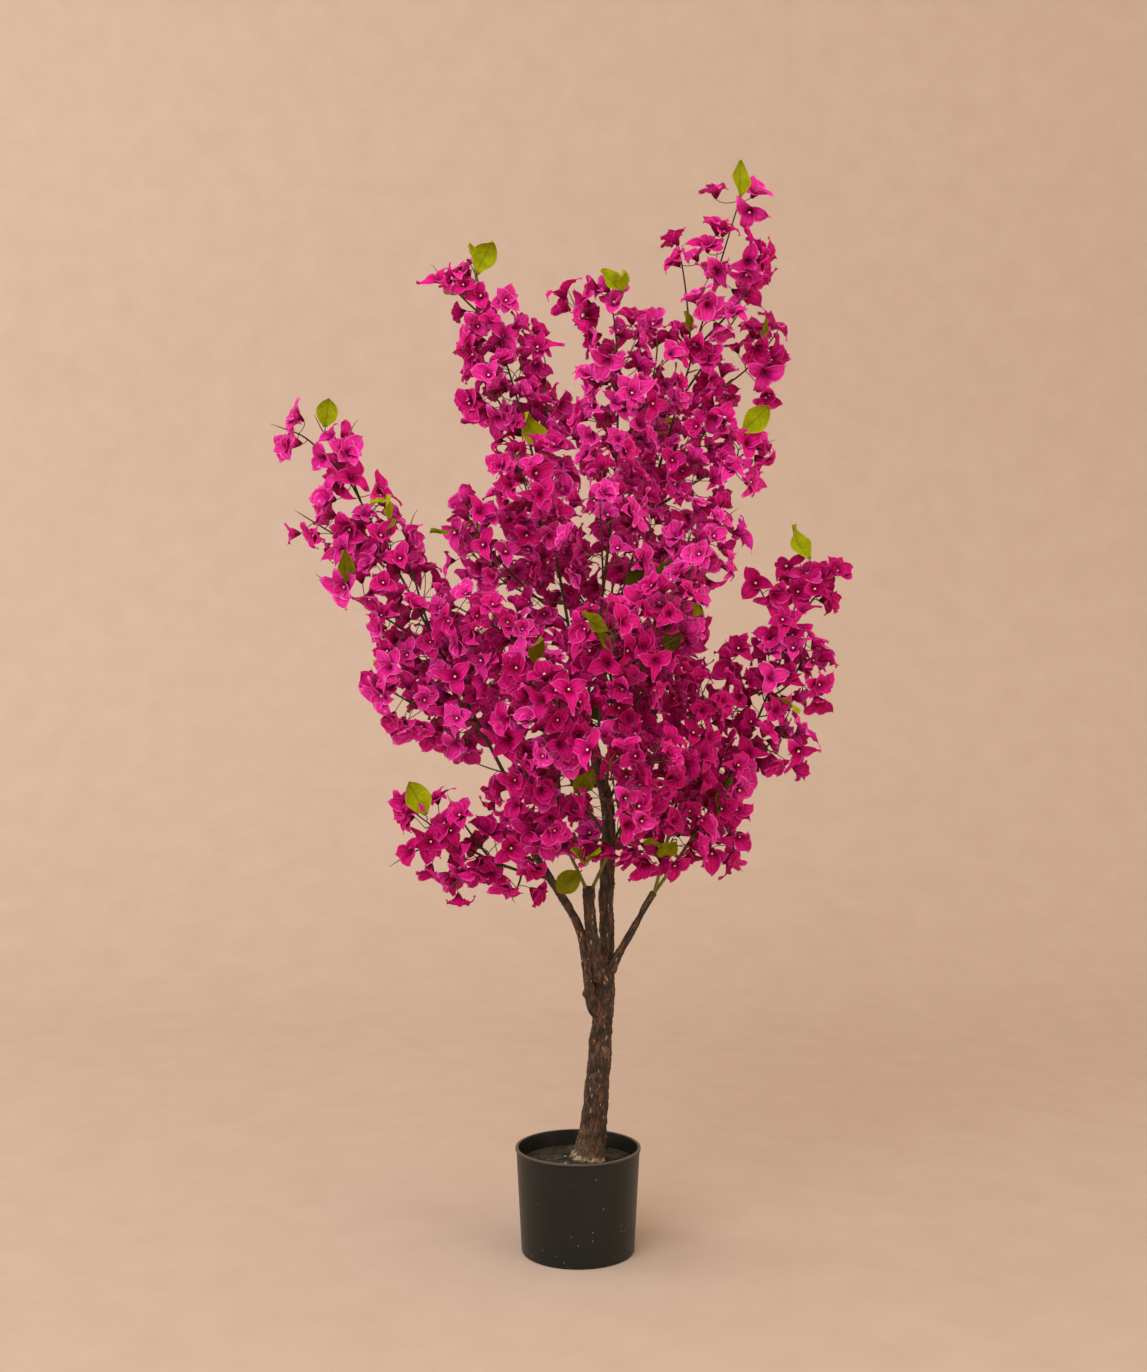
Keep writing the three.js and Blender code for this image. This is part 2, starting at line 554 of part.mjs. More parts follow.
// The tree
const materials = {
  pot: new THREE.MeshStandardMaterial({ color: 0x2d2b28, roughness: 0.55, metalness: 0 }),
  fill: new THREE.MeshStandardMaterial({ color: 0x34332c, roughness: 0.95, metalness: 0 }),
  bark: new THREE.MeshStandardMaterial({ color: 0x4a3428, roughness: 0.85, metalness: 0, flatShading: true }),
  spray: new THREE.MeshStandardMaterial({ color: 0xb8147c, roughness: 0.7, metalness: 0, flatShading: true }),
};

const tree = new THREE.Group();

function addNode(name, solid, material) {
  const mesh = new THREE.Mesh(toGeometry(solid), material);
  mesh.name = name;
  tree.add(mesh);
}

addNode('pot', potSolid, materials.pot);
addNode('fill', fillSolid, materials.fill);
for (const [name, solid] of Object.entries(limbSolids)) addNode(name, solid, materials.bark);
for (const [name, spray] of Object.entries(sprays)) addNode(name, growSpray(spray), materials.spray);

export default tree;
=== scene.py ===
# An artificial bougainvillea tree, 1.2 m tall, in a plain black plastic pot: the pot, the fill that
# holds the trunk, the bark-covered trunk and boughs, then the sprays that are pushed into the boughs.
# Metres, +Z up, origin in the middle of the pot's flat underside, front of the tree towards -Y.

import math

import bmesh
import bpy
import numpy as np
from mathutils import Matrix, Vector, noise
from mathutils.kdtree import KDTree


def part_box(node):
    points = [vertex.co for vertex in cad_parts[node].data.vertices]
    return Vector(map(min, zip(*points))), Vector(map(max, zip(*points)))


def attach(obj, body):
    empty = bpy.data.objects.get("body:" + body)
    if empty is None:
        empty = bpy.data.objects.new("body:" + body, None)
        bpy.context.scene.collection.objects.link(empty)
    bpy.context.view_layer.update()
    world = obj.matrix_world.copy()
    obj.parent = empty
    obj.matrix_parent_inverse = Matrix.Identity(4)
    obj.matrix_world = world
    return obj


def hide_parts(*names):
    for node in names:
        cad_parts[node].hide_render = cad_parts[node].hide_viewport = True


for startup_name in ("Cube", "Light", "Camera"):
    if startup_name in bpy.data.objects:
        bpy.data.objects.remove(bpy.data.objects[startup_name])

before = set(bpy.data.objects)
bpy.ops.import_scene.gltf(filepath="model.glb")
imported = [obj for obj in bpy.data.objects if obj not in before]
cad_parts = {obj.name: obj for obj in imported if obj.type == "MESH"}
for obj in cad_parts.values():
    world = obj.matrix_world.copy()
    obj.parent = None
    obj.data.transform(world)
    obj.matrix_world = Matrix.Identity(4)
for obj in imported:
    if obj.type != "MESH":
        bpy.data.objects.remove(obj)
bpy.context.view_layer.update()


# The camera stands 1.75 m in front of the trunk, level, with its eye just over half the tree's height.
# Its lens is the photograph's, so a pixel of the photograph is a line of sight in the scene.
EYE = Vector((-0.005, -1.753, 0.6206))
PHOTO_HEIGHT_PX = 1372
PHOTO_CENTRE_PX = (573.5, 686)
FOCAL_LENGTH_PX = 1592
SENSOR_LONG_SIDE = 36


def add_object(name, data):
    """A new object in the scene."""
    added = bpy.data.objects.new(name, data)
    bpy.context.scene.collection.objects.link(added)
    return added


camera_data = bpy.data.cameras.new("camera")
camera_data.sensor_width = SENSOR_LONG_SIDE
camera_data.lens = SENSOR_LONG_SIDE * FOCAL_LENGTH_PX / PHOTO_HEIGHT_PX
camera = add_object("camera", camera_data)
camera.location = EYE
camera.rotation_euler = (math.radians(90), 0, 0)
bpy.context.scene.camera = camera


def sight_direction(pixel):
    """The direction in which the camera sees a pixel of the photograph, one metre deep."""
    across = (pixel[0] - PHOTO_CENTRE_PX[0]) / FOCAL_LENGTH_PX
    up = (PHOTO_CENTRE_PX[1] - pixel[1]) / FOCAL_LENGTH_PX
    return Vector((across, 1, up))


# The pot is a thin tapered nursery pot, injection-moulded in matt black plastic, with a short lip. The
# bare shell is one closed wall, turned from its profile, with its corners rounded.
POT_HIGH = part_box("pot")[1]
POT_HEIGHT = POT_HIGH.z
POT_RIM_RADIUS = POT_HIGH.x
POT_BASE_RADIUS = 0.062
POT_WALL = 0.0022
POT_LIP_DEPTH = 0.004
POT_LIP_STANDOUT = 0.0012
POT_SEGMENTS = 128
BASE_CORNER = 0.002
LIP_CORNER = 0.0007
SMOOTH_BELOW = math.radians(35)
# A grey band is painted along the lip as its highlight, upwards from the first of these heights, strongest
# from the second on.
LIP_HIGHLIGHT_FOOT = 0.1118
LIP_HIGHLIGHT_FULL = 0.1138


def colour(red, green, blue):
    """A colour given as it shows on a screen, 0 to 255, as the shader takes it."""
    shares = (value / 255 for value in (red, green, blue))
    return (*(v / 12.92 if v <= 0.04045 else ((v + 0.055) / 1.055) ** 2.4 for v in shares), 1)


def add_node(tree, kind, inputs=None, **settings):
    """Adds a node. An input that is another node's output socket is linked, any other is a value."""
    made = tree.nodes.new(kind)
    for setting, value in settings.items():
        setattr(made, setting, value)
    for name, value in (inputs or {}).items():
        if isinstance(value, bpy.types.NodeSocket):
            tree.links.new(value, made.inputs[name])
        else:
            made.inputs[name].default_value = value
    return made


def calculated(tree, operation, *values):
    """The result of one step of arithmetic on sockets and numbers."""
    return add_node(tree, "ShaderNodeMath", dict(enumerate(values)), operation=operation).outputs[0]


def ramped(tree, value, start, end, low=0.0, high=1.0, **settings):
    """A value that runs from low to high as another runs from start to end, and stays there beyond."""
    return add_node(tree, "ShaderNodeMapRange", {
        "Value": value, "From Min": start, "From Max": end, "To Min": low, "To Max": high},
        **settings).outputs["Result"]


def noise_at(tree, place, scale, detail, roughness=0.5):
    """A cloudy noise from 0 to 1."""
    return add_node(tree, "ShaderNodeTexNoise", {
        "Vector": place, "Scale": scale, "Detail": detail, "Roughness": roughness}).outputs["Fac"]


def painted(tree, mask, under, over):
    """A colour with another painted over it, fully where the mask is 1."""
    return add_node(tree, "ShaderNodeMix", {"Factor": mask, "A": under, "B": over},
                    data_type="RGBA").outputs["Result"]


def parts_of(tree, place):
    """The X, Y and Z of a place."""
    return add_node(tree, "ShaderNodeSeparateXYZ", {"Vector": place}).outputs


def stretched(tree, place, lengthwise):
    """A place with its Z scaled, which draws out along Z what is laid over it."""
    return add_node(tree, "ShaderNodeMapping", {
        "Vector": place, "Scale": (1, 1, lengthwise)}).outputs["Vector"]


def out_from_axis(tree, place):
    """How far a place is from the vertical axis."""
    flat = add_node(tree, "ShaderNodeVectorMath", {0: place, 1: (1, 1, 0)}, operation="MULTIPLY")
    reach = add_node(tree, "ShaderNodeVectorMath", {0: flat.outputs["Vector"]}, operation="LENGTH")
    return reach.outputs["Value"]


def make_group(name, inputs, outputs):
    """An empty shader node group with named inputs (kind, default) and outputs (kind)."""
    group = bpy.data.node_groups.new(name, "ShaderNodeTree")
    for label, (kind, default) in inputs.items():
        socket = group.interface.new_socket(label, in_out="INPUT", socket_type="NodeSocket" + kind)
        if default is not None:
            socket.default_value = default
    for label, kind in outputs.items():
        group.interface.new_socket(label, in_out="OUTPUT", socket_type="NodeSocket" + kind)
    return group, group.nodes.new("NodeGroupInput").outputs


def give_results(group, results):
    """Links what a node group has worked out to its outputs."""
    result = group.nodes.new("NodeGroupOutput")
    for label, socket in results.items():
        group.links.new(socket, result.inputs[label])


def make_patchy_group():
    """Two colours in soft patches with finer mottling: a colour, a roughness and a height."""
    group, given = make_group(
        "patchy",
        {"Vector": ("Vector", None), "Dark": ("Color", (0, 0, 0, 1)), "Light": ("Color", (1, 1, 1, 1)),
         "Patch Scale": ("Float", 20.0), "Grain Scale": ("Float", 400.0),
         "Low Roughness": ("Float", 0.4), "High Roughness": ("Float", 0.7)},
        {"Colour": "Color", "Roughness": "Float", "Height": "Float"})
    patches = noise_at(group, given["Vector"], given["Patch Scale"], 4.0, 0.6)
    grain = noise_at(group, given["Vector"], given["Grain Scale"], 3.0, 0.7)
    blend = calculated(group, "MULTIPLY_ADD", grain, 0.3, calculated(group, "MULTIPLY", patches, 0.7))
    give_results(group, {
        "Colour": painted(group, ramped(group, blend, 0.35, 0.65), given["Dark"], given["Light"]),
        "Roughness": ramped(group, grain, 0.3, 0.7, given["Low Roughness"], given["High Roughness"]),
        "Height": grain})
    return group


def make_specks_group():
    """Small scattered specks, such as dust or grit: a mask that is 1 on a speck."""
    group, given = make_group(
        "specks",
        {"Vector": ("Vector", None), "Scale": ("Float", 300.0), "Size": ("Float", 0.12),
         "Share": ("Float", 0.2)},
        {"Mask": "Float"})
    cells = add_node(group, "ShaderNodeTexVoronoi", {
        "Vector": given["Vector"], "Scale": given["Scale"]}).outputs
    chance = add_node(group, "ShaderNodeSeparateColor", {"Color": cells["Color"]}).outputs["Red"]
    dots = calculated(group, "LESS_THAN", cells["Distance"], given["Size"])
    chosen = calculated(group, "LESS_THAN", chance, given["Share"])
    give_results(group, {"Mask": calculated(group, "MULTIPLY", dots, chosen)})
    return group


patchy_group = make_patchy_group()
specks_group = make_specks_group()


def patchy(tree, place, dark, light, patch_scale, grain_scale, roughness):
    """The patchy group in a material, between two colours and two roughnesses."""
    return add_node(tree, "ShaderNodeGroup", {
        "Vector": place, "Dark": colour(*dark), "Light": colour(*light), "Patch Scale": patch_scale,
        "Grain Scale": grain_scale, "Low Roughness": roughness[0], "High Roughness": roughness[1]},
        node_tree=patchy_group).outputs


def specks(tree, place, scale, size, share):
    """The mask of the specks group in a material."""
    return add_node(tree, "ShaderNodeGroup", {"Vector": place, "Scale": scale, "Size": size, "Share": share},
                    node_tree=specks_group).outputs["Mask"]


def start_material(name, specular):
    """A new material with its node tree, its shader and the object's own coordinates."""
    material = bpy.data.materials.new(name)
    material.use_nodes = True
    tree = material.node_tree
    shader = tree.nodes["Principled BSDF"]
    shader.inputs["Specular IOR Level"].default_value = specular
    return material, tree, shader, add_node(tree, "ShaderNodeTexCoord").outputs["Object"]


def finish_material(tree, shader, shade, roughness, height, depth):
    """Feeds the shader its colour, its roughness, and a height as a bump so many metres deep."""
    bump = add_node(tree, "ShaderNodeBump", {"Height": height, "Strength": 1.0, "Distance": depth})
    tree.links.new(shade, shader.inputs["Base Color"])
    tree.links.new(roughness, shader.inputs["Roughness"])
    tree.links.new(bump.outputs["Normal"], shader.inputs["Normal"])


def make_pot_plastic():
    """Matt black plastic, faintly streaky, a little dusty, with a grey highlight painted along its lip and
    painted shade inside.
    """
    material, tree, shader, place = start_material("pot_plastic", specular=0.38)
    plastic = patchy(tree, stretched(tree, place, 0.25), (10, 18, 17), (19, 27, 25), 24, 700, (0.34, 0.46))
    dust = specks(tree, place, 260, 0.2, 0.05)
    height = parts_of(tree, place)["Z"]
    # Painted highlight: a grey band along the lip.
    lip_highlight = ramped(tree, height, LIP_HIGHLIGHT_FOOT, LIP_HIGHLIGHT_FULL, high=0.4)
    # Painted shade: the inner wall and the floor inside the pot, found by their distance from the axis, are
    # painted near-black.
    taper = (POT_RIM_RADIUS - POT_LIP_STANDOUT - POT_BASE_RADIUS) / POT_HEIGHT
    lining = calculated(tree, "MULTIPLY_ADD", height, taper, POT_BASE_RADIUS - POT_WALL)
    beyond = calculated(tree, "SUBTRACT", out_from_axis(tree, place), lining)
    inside = ramped(tree, beyond, 0.0008, 0.0002, high=0.85)
    shade = plastic["Colour"]
    for mask, over in ((dust, (112, 110, 100)), (lip_highlight, (116, 110, 102)), (inside, (5, 7, 6))):
        shade = painted(tree, mask, shade, colour(*over))
    finish_material(tree, shader, shade, plastic["Roughness"], plastic["Height"], 0.00012)
    return material


def finish_piece(name, mesh, materials, replaced):
    """Puts a finished mesh in the scene as a piece that rides with the pot and stands for CAD nodes."""
    piece = add_object(name, mesh)
    for material in materials:
        mesh.materials.append(material)
    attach(piece, "root")
    if replaced:
        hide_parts(*replaced)


def turned(profile, segments):
    """A closed shape turned about the vertical axis from a profile that begins and ends on it."""
    shape = bmesh.new()
    line = [shape.verts.new((radius, 0, height)) for radius, height in profile]
    edges = [shape.edges.new(pair) for pair in zip(line, line[1:])]
    bmesh.ops.spin(shape, geom=line + edges, axis=(0, 0, 1), cent=(0, 0, 0), angle=2 * math.pi,
                   steps=segments, use_merge=True)
    bmesh.ops.remove_doubles(shape, verts=shape.verts, dist=1e-6)
    bmesh.ops.recalc_face_normals(shape, faces=shape.faces)
    return shape


def round_corner(shape, radius, height, width, segments):
    """Bevels the ring of edges of a turned shape that lies at one radius and height."""
    ring = [edge for edge in shape.edges if all(
        abs(math.hypot(v.co.x, v.co.y) - radius) < 1e-5 and abs(v.co.z - height) < 1e-5 for v in edge.verts)]
    bmesh.ops.bevel(shape, geom=ring, offset=width, affect="EDGES", segments=segments, profile=0.5,
                    material=-1)


def mesh_from(shape, name):
    """A smooth mesh made from a bmesh shape, which is freed."""
    mesh = bpy.data.meshes.new(name)
    for face in shape.faces:
        face.smooth = True
    shape.to_mesh(mesh)
    shape.free()
    return mesh


def make_pot():
    wall_top = POT_RIM_RADIUS - POT_LIP_STANDOUT
    lip_foot = POT_HEIGHT - POT_LIP_DEPTH

    def inside(height):
        return POT_BASE_RADIUS + (wall_top - POT_BASE_RADIUS) * height / POT_HEIGHT - POT_WALL

    shape = turned([
        (0, 0), (POT_BASE_RADIUS, 0), (wall_top, lip_foot), (POT_RIM_RADIUS, lip_foot + POT_LIP_STANDOUT),
        (POT_RIM_RADIUS, POT_HEIGHT), (inside(POT_HEIGHT), POT_HEIGHT), (inside(POT_WALL), POT_WALL),
        (0, POT_WALL),
    ], POT_SEGMENTS)
    round_corner(shape, POT_BASE_RADIUS, 0, BASE_CORNER, 4)
    round_corner(shape, POT_RIM_RADIUS, POT_HEIGHT, LIP_CORNER, 3)
    round_corner(shape, inside(POT_HEIGHT), POT_HEIGHT, LIP_CORNER, 3)
    round_corner(shape, POT_RIM_RADIUS, lip_foot + POT_LIP_STANDOUT, LIP_CORNER / 2, 2)
    mesh = mesh_from(shape, "pot_shell")
    mesh.set_sharp_from_angle(angle=SMOOTH_BELOW)
    finish_piece("pot_shell", mesh, [make_pot_plastic()], ["pot"])


make_pot()


# The fill is the grey cement that holds the trunk's foot, poured into the pot and left rough: lumpy, a
# little sunk towards the wall, dark with grit and a few pale specks.
FILL_LOW, FILL_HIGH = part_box("fill")
FILL_TOP = FILL_HIGH.z
FILL_RADIUS = FILL_HIGH.x
FILL_FOOT_RADIUS = 0.0598
FILL_RINGS = 30
FILL_SEGMENTS = 120
FILL_LUMP = 0.0016
FILL_LUMP_SCALE = 130
FILL_SAG = 0.0014
FILL_CALM_EDGE = 14


def make_fill_cement():
    material, tree, shader, place = start_material("fill_cement", specular=0.25)
    cement = patchy(tree, place, (14, 14, 11), (78, 75, 60), 60, 900, (0.85, 1.0))
    gritty = painted(tree, specks(tree, place, 210, 0.26, 0.08), cement["Colour"], colour(210, 202, 184))
    finish_material(tree, shader, gritty, cement["Roughness"], cement["Height"], 0.0009)
    return material


def make_fill():
    top = [(FILL_RADIUS * ring / FILL_RINGS, FILL_TOP) for ring in range(FILL_RINGS, -1, -1)]
    shape = turned([(0, FILL_LOW.z), (FILL_FOOT_RADIUS, FILL_LOW.z), *top], FILL_SEGMENTS)
    for vert in shape.verts:
        if vert.co.z > FILL_TOP - 1e-4:
            share = math.hypot(vert.co.x, vert.co.y) / FILL_RADIUS
            lump = noise.fractal(vert.co * FILL_LUMP_SCALE, 1.0, 2.0, 4) * FILL_LUMP
            rough = (lump - FILL_SAG * share ** 3) * min(1, FILL_CALM_EDGE * (1 - share))
            vert.co.z += rough - FILL_LUMP / 2
    mesh = mesh_from(shape, "fill_rough")
    finish_piece("fill_rough", mesh, [make_fill_cement()], ["fill"])


make_fill()


# The trunk and its boughs are real branches with their bark on, or a good cast of them: dark brown,
# ridged lengthwise, with knots, and a crust of pale cement round the foot. One skin covers them all.
# Each axis runs from foot to end, as points with the limb's radius there. It is the solid's axis, moved
# up to 5 mm at the foot of the trunk and of two boughs to match the photograph.
LIMBS = {
    "trunk": [
        (0.009, 0, 0.090, 0.0198), (0.012, 0, 0.106, 0.0170), (0.015, 0, 0.120, 0.0160),
        (0.017, 0, 0.136, 0.0148), (0.0185, 0, 0.155, 0.0136), (0.021, 0, 0.182, 0.0131),
        (0.0235, 0, 0.210, 0.0126), (0.026, 0, 0.242, 0.0113), (0.028, 0, 0.268, 0.0116),
        (0.029, 0, 0.293, 0.0108), (0.029, 0, 0.306, 0.0104), (0.029, 0.001, 0.314, 0.0090),
    ],
    "bough_centre": [
        (0.030, 0.003, 0.304, 0.0080), (0.031, 0.007, 0.322, 0.0083), (0.032, 0.009, 0.352, 0.0079),
        (0.031, 0.010, 0.386, 0.0082), (0.033, 0.011, 0.428, 0.0078), (0.034, 0.012, 0.472, 0.0072),
        (0.030, 0.012, 0.500, 0.0069), (0.024, 0.012, 0.525, 0.0066), (0.007, 0.010, 0.590, 0.0060),
    ],
    "bough_left": [
        (0.025, 0, 0.254, 0.0050), (0.015, -0.005, 0.268, 0.0054), (0.0124, -0.007, 0.292, 0.0057),
        (0.0080, -0.009, 0.326, 0.0054), (0.001, -0.011, 0.356, 0.0046), (-0.011, -0.013, 0.380, 0.0046),
        (-0.031, -0.016, 0.411, 0.0044), (-0.050, -0.018, 0.444, 0.0040), (-0.066, -0.020, 0.490, 0.0036),
        (-0.079, -0.022, 0.524, 0.0032),
    ],
    "bough_stub": [
        (0.028, -0.003, 0.288, 0.0064), (0.024, -0.011, 0.308, 0.0068), (0.018, -0.014, 0.334, 0.0066),
        (0.014, -0.015, 0.358, 0.0064), (0.012, -0.016, 0.384, 0.0065), (0.012, -0.016, 0.402, 0.0066),
    ],
    "bough_right": [
        (0.028, -0.001, 0.297, 0.0050), (0.037, -0.004, 0.311, 0.0052), (0.0465, -0.005, 0.330, 0.0048),
        (0.057, -0.006, 0.348, 0.0041), (0.069, -0.007, 0.370, 0.0038), (0.083, -0.010, 0.395, 0.0036),
    ],
}
FOOT_FLARE = 0.0325
FOOT_FLARE_HEIGHT = 0.025
LIMB_STATION = 0.006
LIMB_SIDES = 20
SKIN_PITCH = 0.0011
SKIN_SMOOTHINGS = 6
SKIN_DEEPEST = 0.004
# Knots and scars: where each stands on the bark, how far it stands out, and how wide it is.
KNOTS = [
    ((0.006, -0.010, 0.283), 0.0032, 0.0044), ((0.040, 0.004, 0.402), 0.0022, 0.0035),
    ((0.084, -0.014, 0.393), 0.0016, 0.0035), ((0.021, -0.014, 0.302), 0.0030, 0.0060),
    ((0.034, -0.011, 0.297), 0.0026, 0.0050), ((0.041, -0.009, 0.306), 0.0018, 0.0050),
    ((0.010, -0.008, 0.236), 0.0016, 0.0070), ((0.038, -0.004, 0.223), 0.0014, 0.0050),
    ((0.015, 0.011, 0.200), 0.0018, 0.0060), ((0.032, 0.012, 0.262), 0.0020, 0.0060),
    ((0.030, -0.012, 0.168), 0.0012, 0.0060), ((-0.012, -0.018, 0.383), 0.0012, 0.0040),
    ((0.024, 0.004, 0.352), 0.0014, 0.0040), ((0.026, 0.020, 0.440), 0.0016, 0.0045),
]
KNOT_SWELL = 1.4
KNOT_HOLLOW = 0.9
KNOT_HOLLOW_WIDTH = 0.35
RIDGE_DEPTH = 0.0014
RIDGE_SCALE = 330
RIDGE_STRETCH = 0.16
RIDGE_BASE = 0.55
LUMP_DEPTH = 0.0011
LUMP_SCALE = 55
CREASE_DEPTH = 0.0005
CREASE_SCALE_ROUND = 260
CREASE_SCALE_ALONG = 420
FULL_RELIEF_RADIUS = 0.008
THIN_RELIEF_SHARE = 0.35
# The crust of cement round the trunk's foot: its ragged upper edge, which dips to the right, and crumbs.
CRUST_TOP = 0.106
CRUST_REACH = 0.012
CRUST_RAG = 0.007
CRUST_RAG_SCALE = 90
CRUST_DIP = 0.15
CRUST_MIDDLE = 0.012
CRUST_DEPTH = 0.0009
CRUST_EDGE = 0.003
CRUMB_DEPTH = 0.0016
CRUMB_SCALE = 240
# In the bark's material: how far the dust's, the crust's and the drift's edges wander, and between which
# heights each sets in.
EDGES_WANDER = 0.022
DUST_LEVELS = (0.144, 0.122)
CRUST_LEVELS = (0.1215, 0.1175)
DRIFT_LEVELS = (0.1155, 0.1130)


def smooth_path(points, step):
    """A smooth line with radii through the points of an axis, as rows of x, y, z and radius."""
    rows = np.array(points)
    rows = np.vstack([2 * rows[0] - rows[1], rows, 2 * rows[-1] - rows[-2]])
    line = []
    for a, b, c, d in zip(rows, rows[1:], rows[2:], rows[3:]):
        count = max(1, round(np.linalg.norm((c - b)[:3]) / step))
        for t in np.arange(count) / count:
            line.append(b + 0.5 * t * (c - a + t * (2 * a - 5 * b + 4 * c - d + t * (3 * (b - c) + d - a))))
    return np.array([*line, rows[-2]])


def add_limb(shape, line):
    """Sets a ring at each station of a limb, square to its axis, and bridges them into a closed skin."""
    rings = []
    last = len(line) - 1
    for station, row in enumerate(line):
        forward = Vector(line[min(station + 1, last)][:3] - line[max(station - 1, 0)][:3]).normalized()
        place = Matrix.Translation(row[:3]) @ forward.to_track_quat("Z", "Y").to_matrix().to_4x4()
        made = bmesh.ops.create_circle(shape, segments=LIMB_SIDES, radius=row[3], matrix=place,
                                       cap_ends=station in (0, last))
        rings.append(list({edge for vert in made["verts"] for edge in vert.link_edges
                           if edge.other_vert(vert) in made["verts"]}))
    for lower, upper in zip(rings, rings[1:]):
        bmesh.ops.bridge_loops(shape, edges=lower + upper)


def bark_relief(points, lines):
    """How far each point of the skin moves out, and its place along and round the nearest limb."""
    best = np.full(len(points), np.inf)
    along = np.zeros(len(points))
    radial = np.zeros((len(points), 3))
    for number, line in enumerate(lines):
        lengths = np.concatenate([[0], np.cumsum(np.linalg.norm(np.diff(line[:, :3], axis=0), axis=1))])
        for start, end, run in zip(line, line[1:], lengths):
            axis = end[:3] - start[:3]
            share = np.clip((points - start[:3]) @ axis / (axis @ axis), 0, 1)
            offset = points - start[:3] - share[:, None] * axis
            gap = np.linalg.norm(offset, axis=1) - start[3]
            near = gap < best
            best = np.where(near, gap, best)
            along = np.where(near, number + run + share * np.linalg.norm(axis), along)
            radial[near] = offset[near]
    grain = np.column_stack([radial[:, :2], along])
    moves = np.zeros(len(points))
    for index, (point, ring, run) in enumerate(zip(points, radial, along)):
        round_limb = Vector((ring[0] * RIDGE_SCALE, ring[1] * RIDGE_SCALE, run * RIDGE_SCALE * RIDGE_STRETCH))
        ridges = abs(noise.noise(round_limb)) * 2 - RIDGE_BASE
        lumps = noise.fractal(Vector(point) * LUMP_SCALE, 1.0, 2.0, 3)
        creases = noise.noise(Vector((
            ring[0] * CREASE_SCALE_ROUND, ring[1] * CREASE_SCALE_ROUND, run * CREASE_SCALE_ALONG)))
        move = -RIDGE_DEPTH * ridges + LUMP_DEPTH * lumps + CREASE_DEPTH * creases
        thickness = min(1, np.linalg.norm(ring) / FULL_RELIEF_RADIUS)
        moves[index] = move * (THIN_RELIEF_SHARE + (1 - THIN_RELIEF_SHARE) * thickness)
        if point[2] < CRUST_TOP + CRUST_REACH:
            rag = CRUST_RAG * noise.noise(Vector(point) * CRUST_RAG_SCALE)
            edge = CRUST_TOP + rag - CRUST_DIP * (point[0] - CRUST_MIDDLE)
            if point[2] < edge:
                crumb = noise.fractal(Vector(point) * CRUMB_SCALE, 1.0, 2.0, 3)
                moves[index] = CRUST_DEPTH * min(1, (edge - point[2]) / CRUST_EDGE) + CRUMB_DEPTH * crumb
    for place, height, width in KNOTS:
        away = np.linalg.norm(points - np.array(place), axis=1)
        moves += height * np.exp(-(away / width) ** 2) * KNOT_SWELL
        moves -= height * KNOT_HOLLOW * np.exp(-(away / (KNOT_HOLLOW_WIDTH * width)) ** 2)
    return moves, grain


def make_bark():
    """Brown bark with grey patches, fissures, pale specks painted as glints and red scars, and cement dust
    round its foot.
    """
    material, tree, shader, place = start_material("bark", specular=0.5)
    grain = add_node(tree, "ShaderNodeAttribute", attribute_name="grain").outputs["Vector"]
    fibres = stretched(tree, grain, 0.28)
    bark = patchy(tree, fibres, (15, 9, 6), (104, 66, 38), 240, 900, (0.38, 0.72))
    grey = ramped(tree, noise_at(tree, place, 26.0, 3.0), 0.5, 0.68, high=0.65)
    fissures = calculated(tree, "SUBTRACT", noise_at(tree, fibres, 210.0, 3.0), 0.5)
    fissures = ramped(tree, calculated(tree, "ABSOLUTE", fissures), 0.02, 0.1, 0.95, 0.0)
    # Painted highlight: small pale specks drawn out along the grain stand in for glints.
    painted_glints = specks(tree, fibres, 420, 0.3, 0.12)
    scars = ramped(tree, noise_at(tree, place, 110.0, 1.0), 0.71, 0.76, high=0.6)
    across, _, height = parts_of(tree, place)
    level = calculated(tree, "MULTIPLY_ADD", across, CRUST_DIP, height)
    ragged = noise_at(tree, place, CRUST_RAG_SCALE, 5.0)
    level = calculated(tree, "MULTIPLY_ADD", ragged, EDGES_WANDER, level)
    dust = ramped(tree, level, *DUST_LEVELS, high=0.4)
    crust = ramped(tree, level, *CRUST_LEVELS)
    drift = ramped(tree, level, *DRIFT_LEVELS)
    crumbs = ramped(tree, noise_at(tree, place, 420.0, 3.0), 0.42, 0.56)
    cement = painted(tree, crumbs, colour(86, 74, 58), colour(178, 160, 132))
    shade = bark["Colour"]
    for mask, over in ((grey, colour(108, 80, 58)), (fissures, colour(20, 13, 9)),
                       (painted_glints, colour(150, 128, 106)), (scars, colour(126, 58, 40)),
                       (dust, colour(118, 98, 80)), (crust, cement), (drift, colour(34, 31, 25))):
        shade = painted(tree, mask, shade, over)
    finish_material(tree, shader, shade, bark["Roughness"], bark["Height"], 0.0012)
    return material


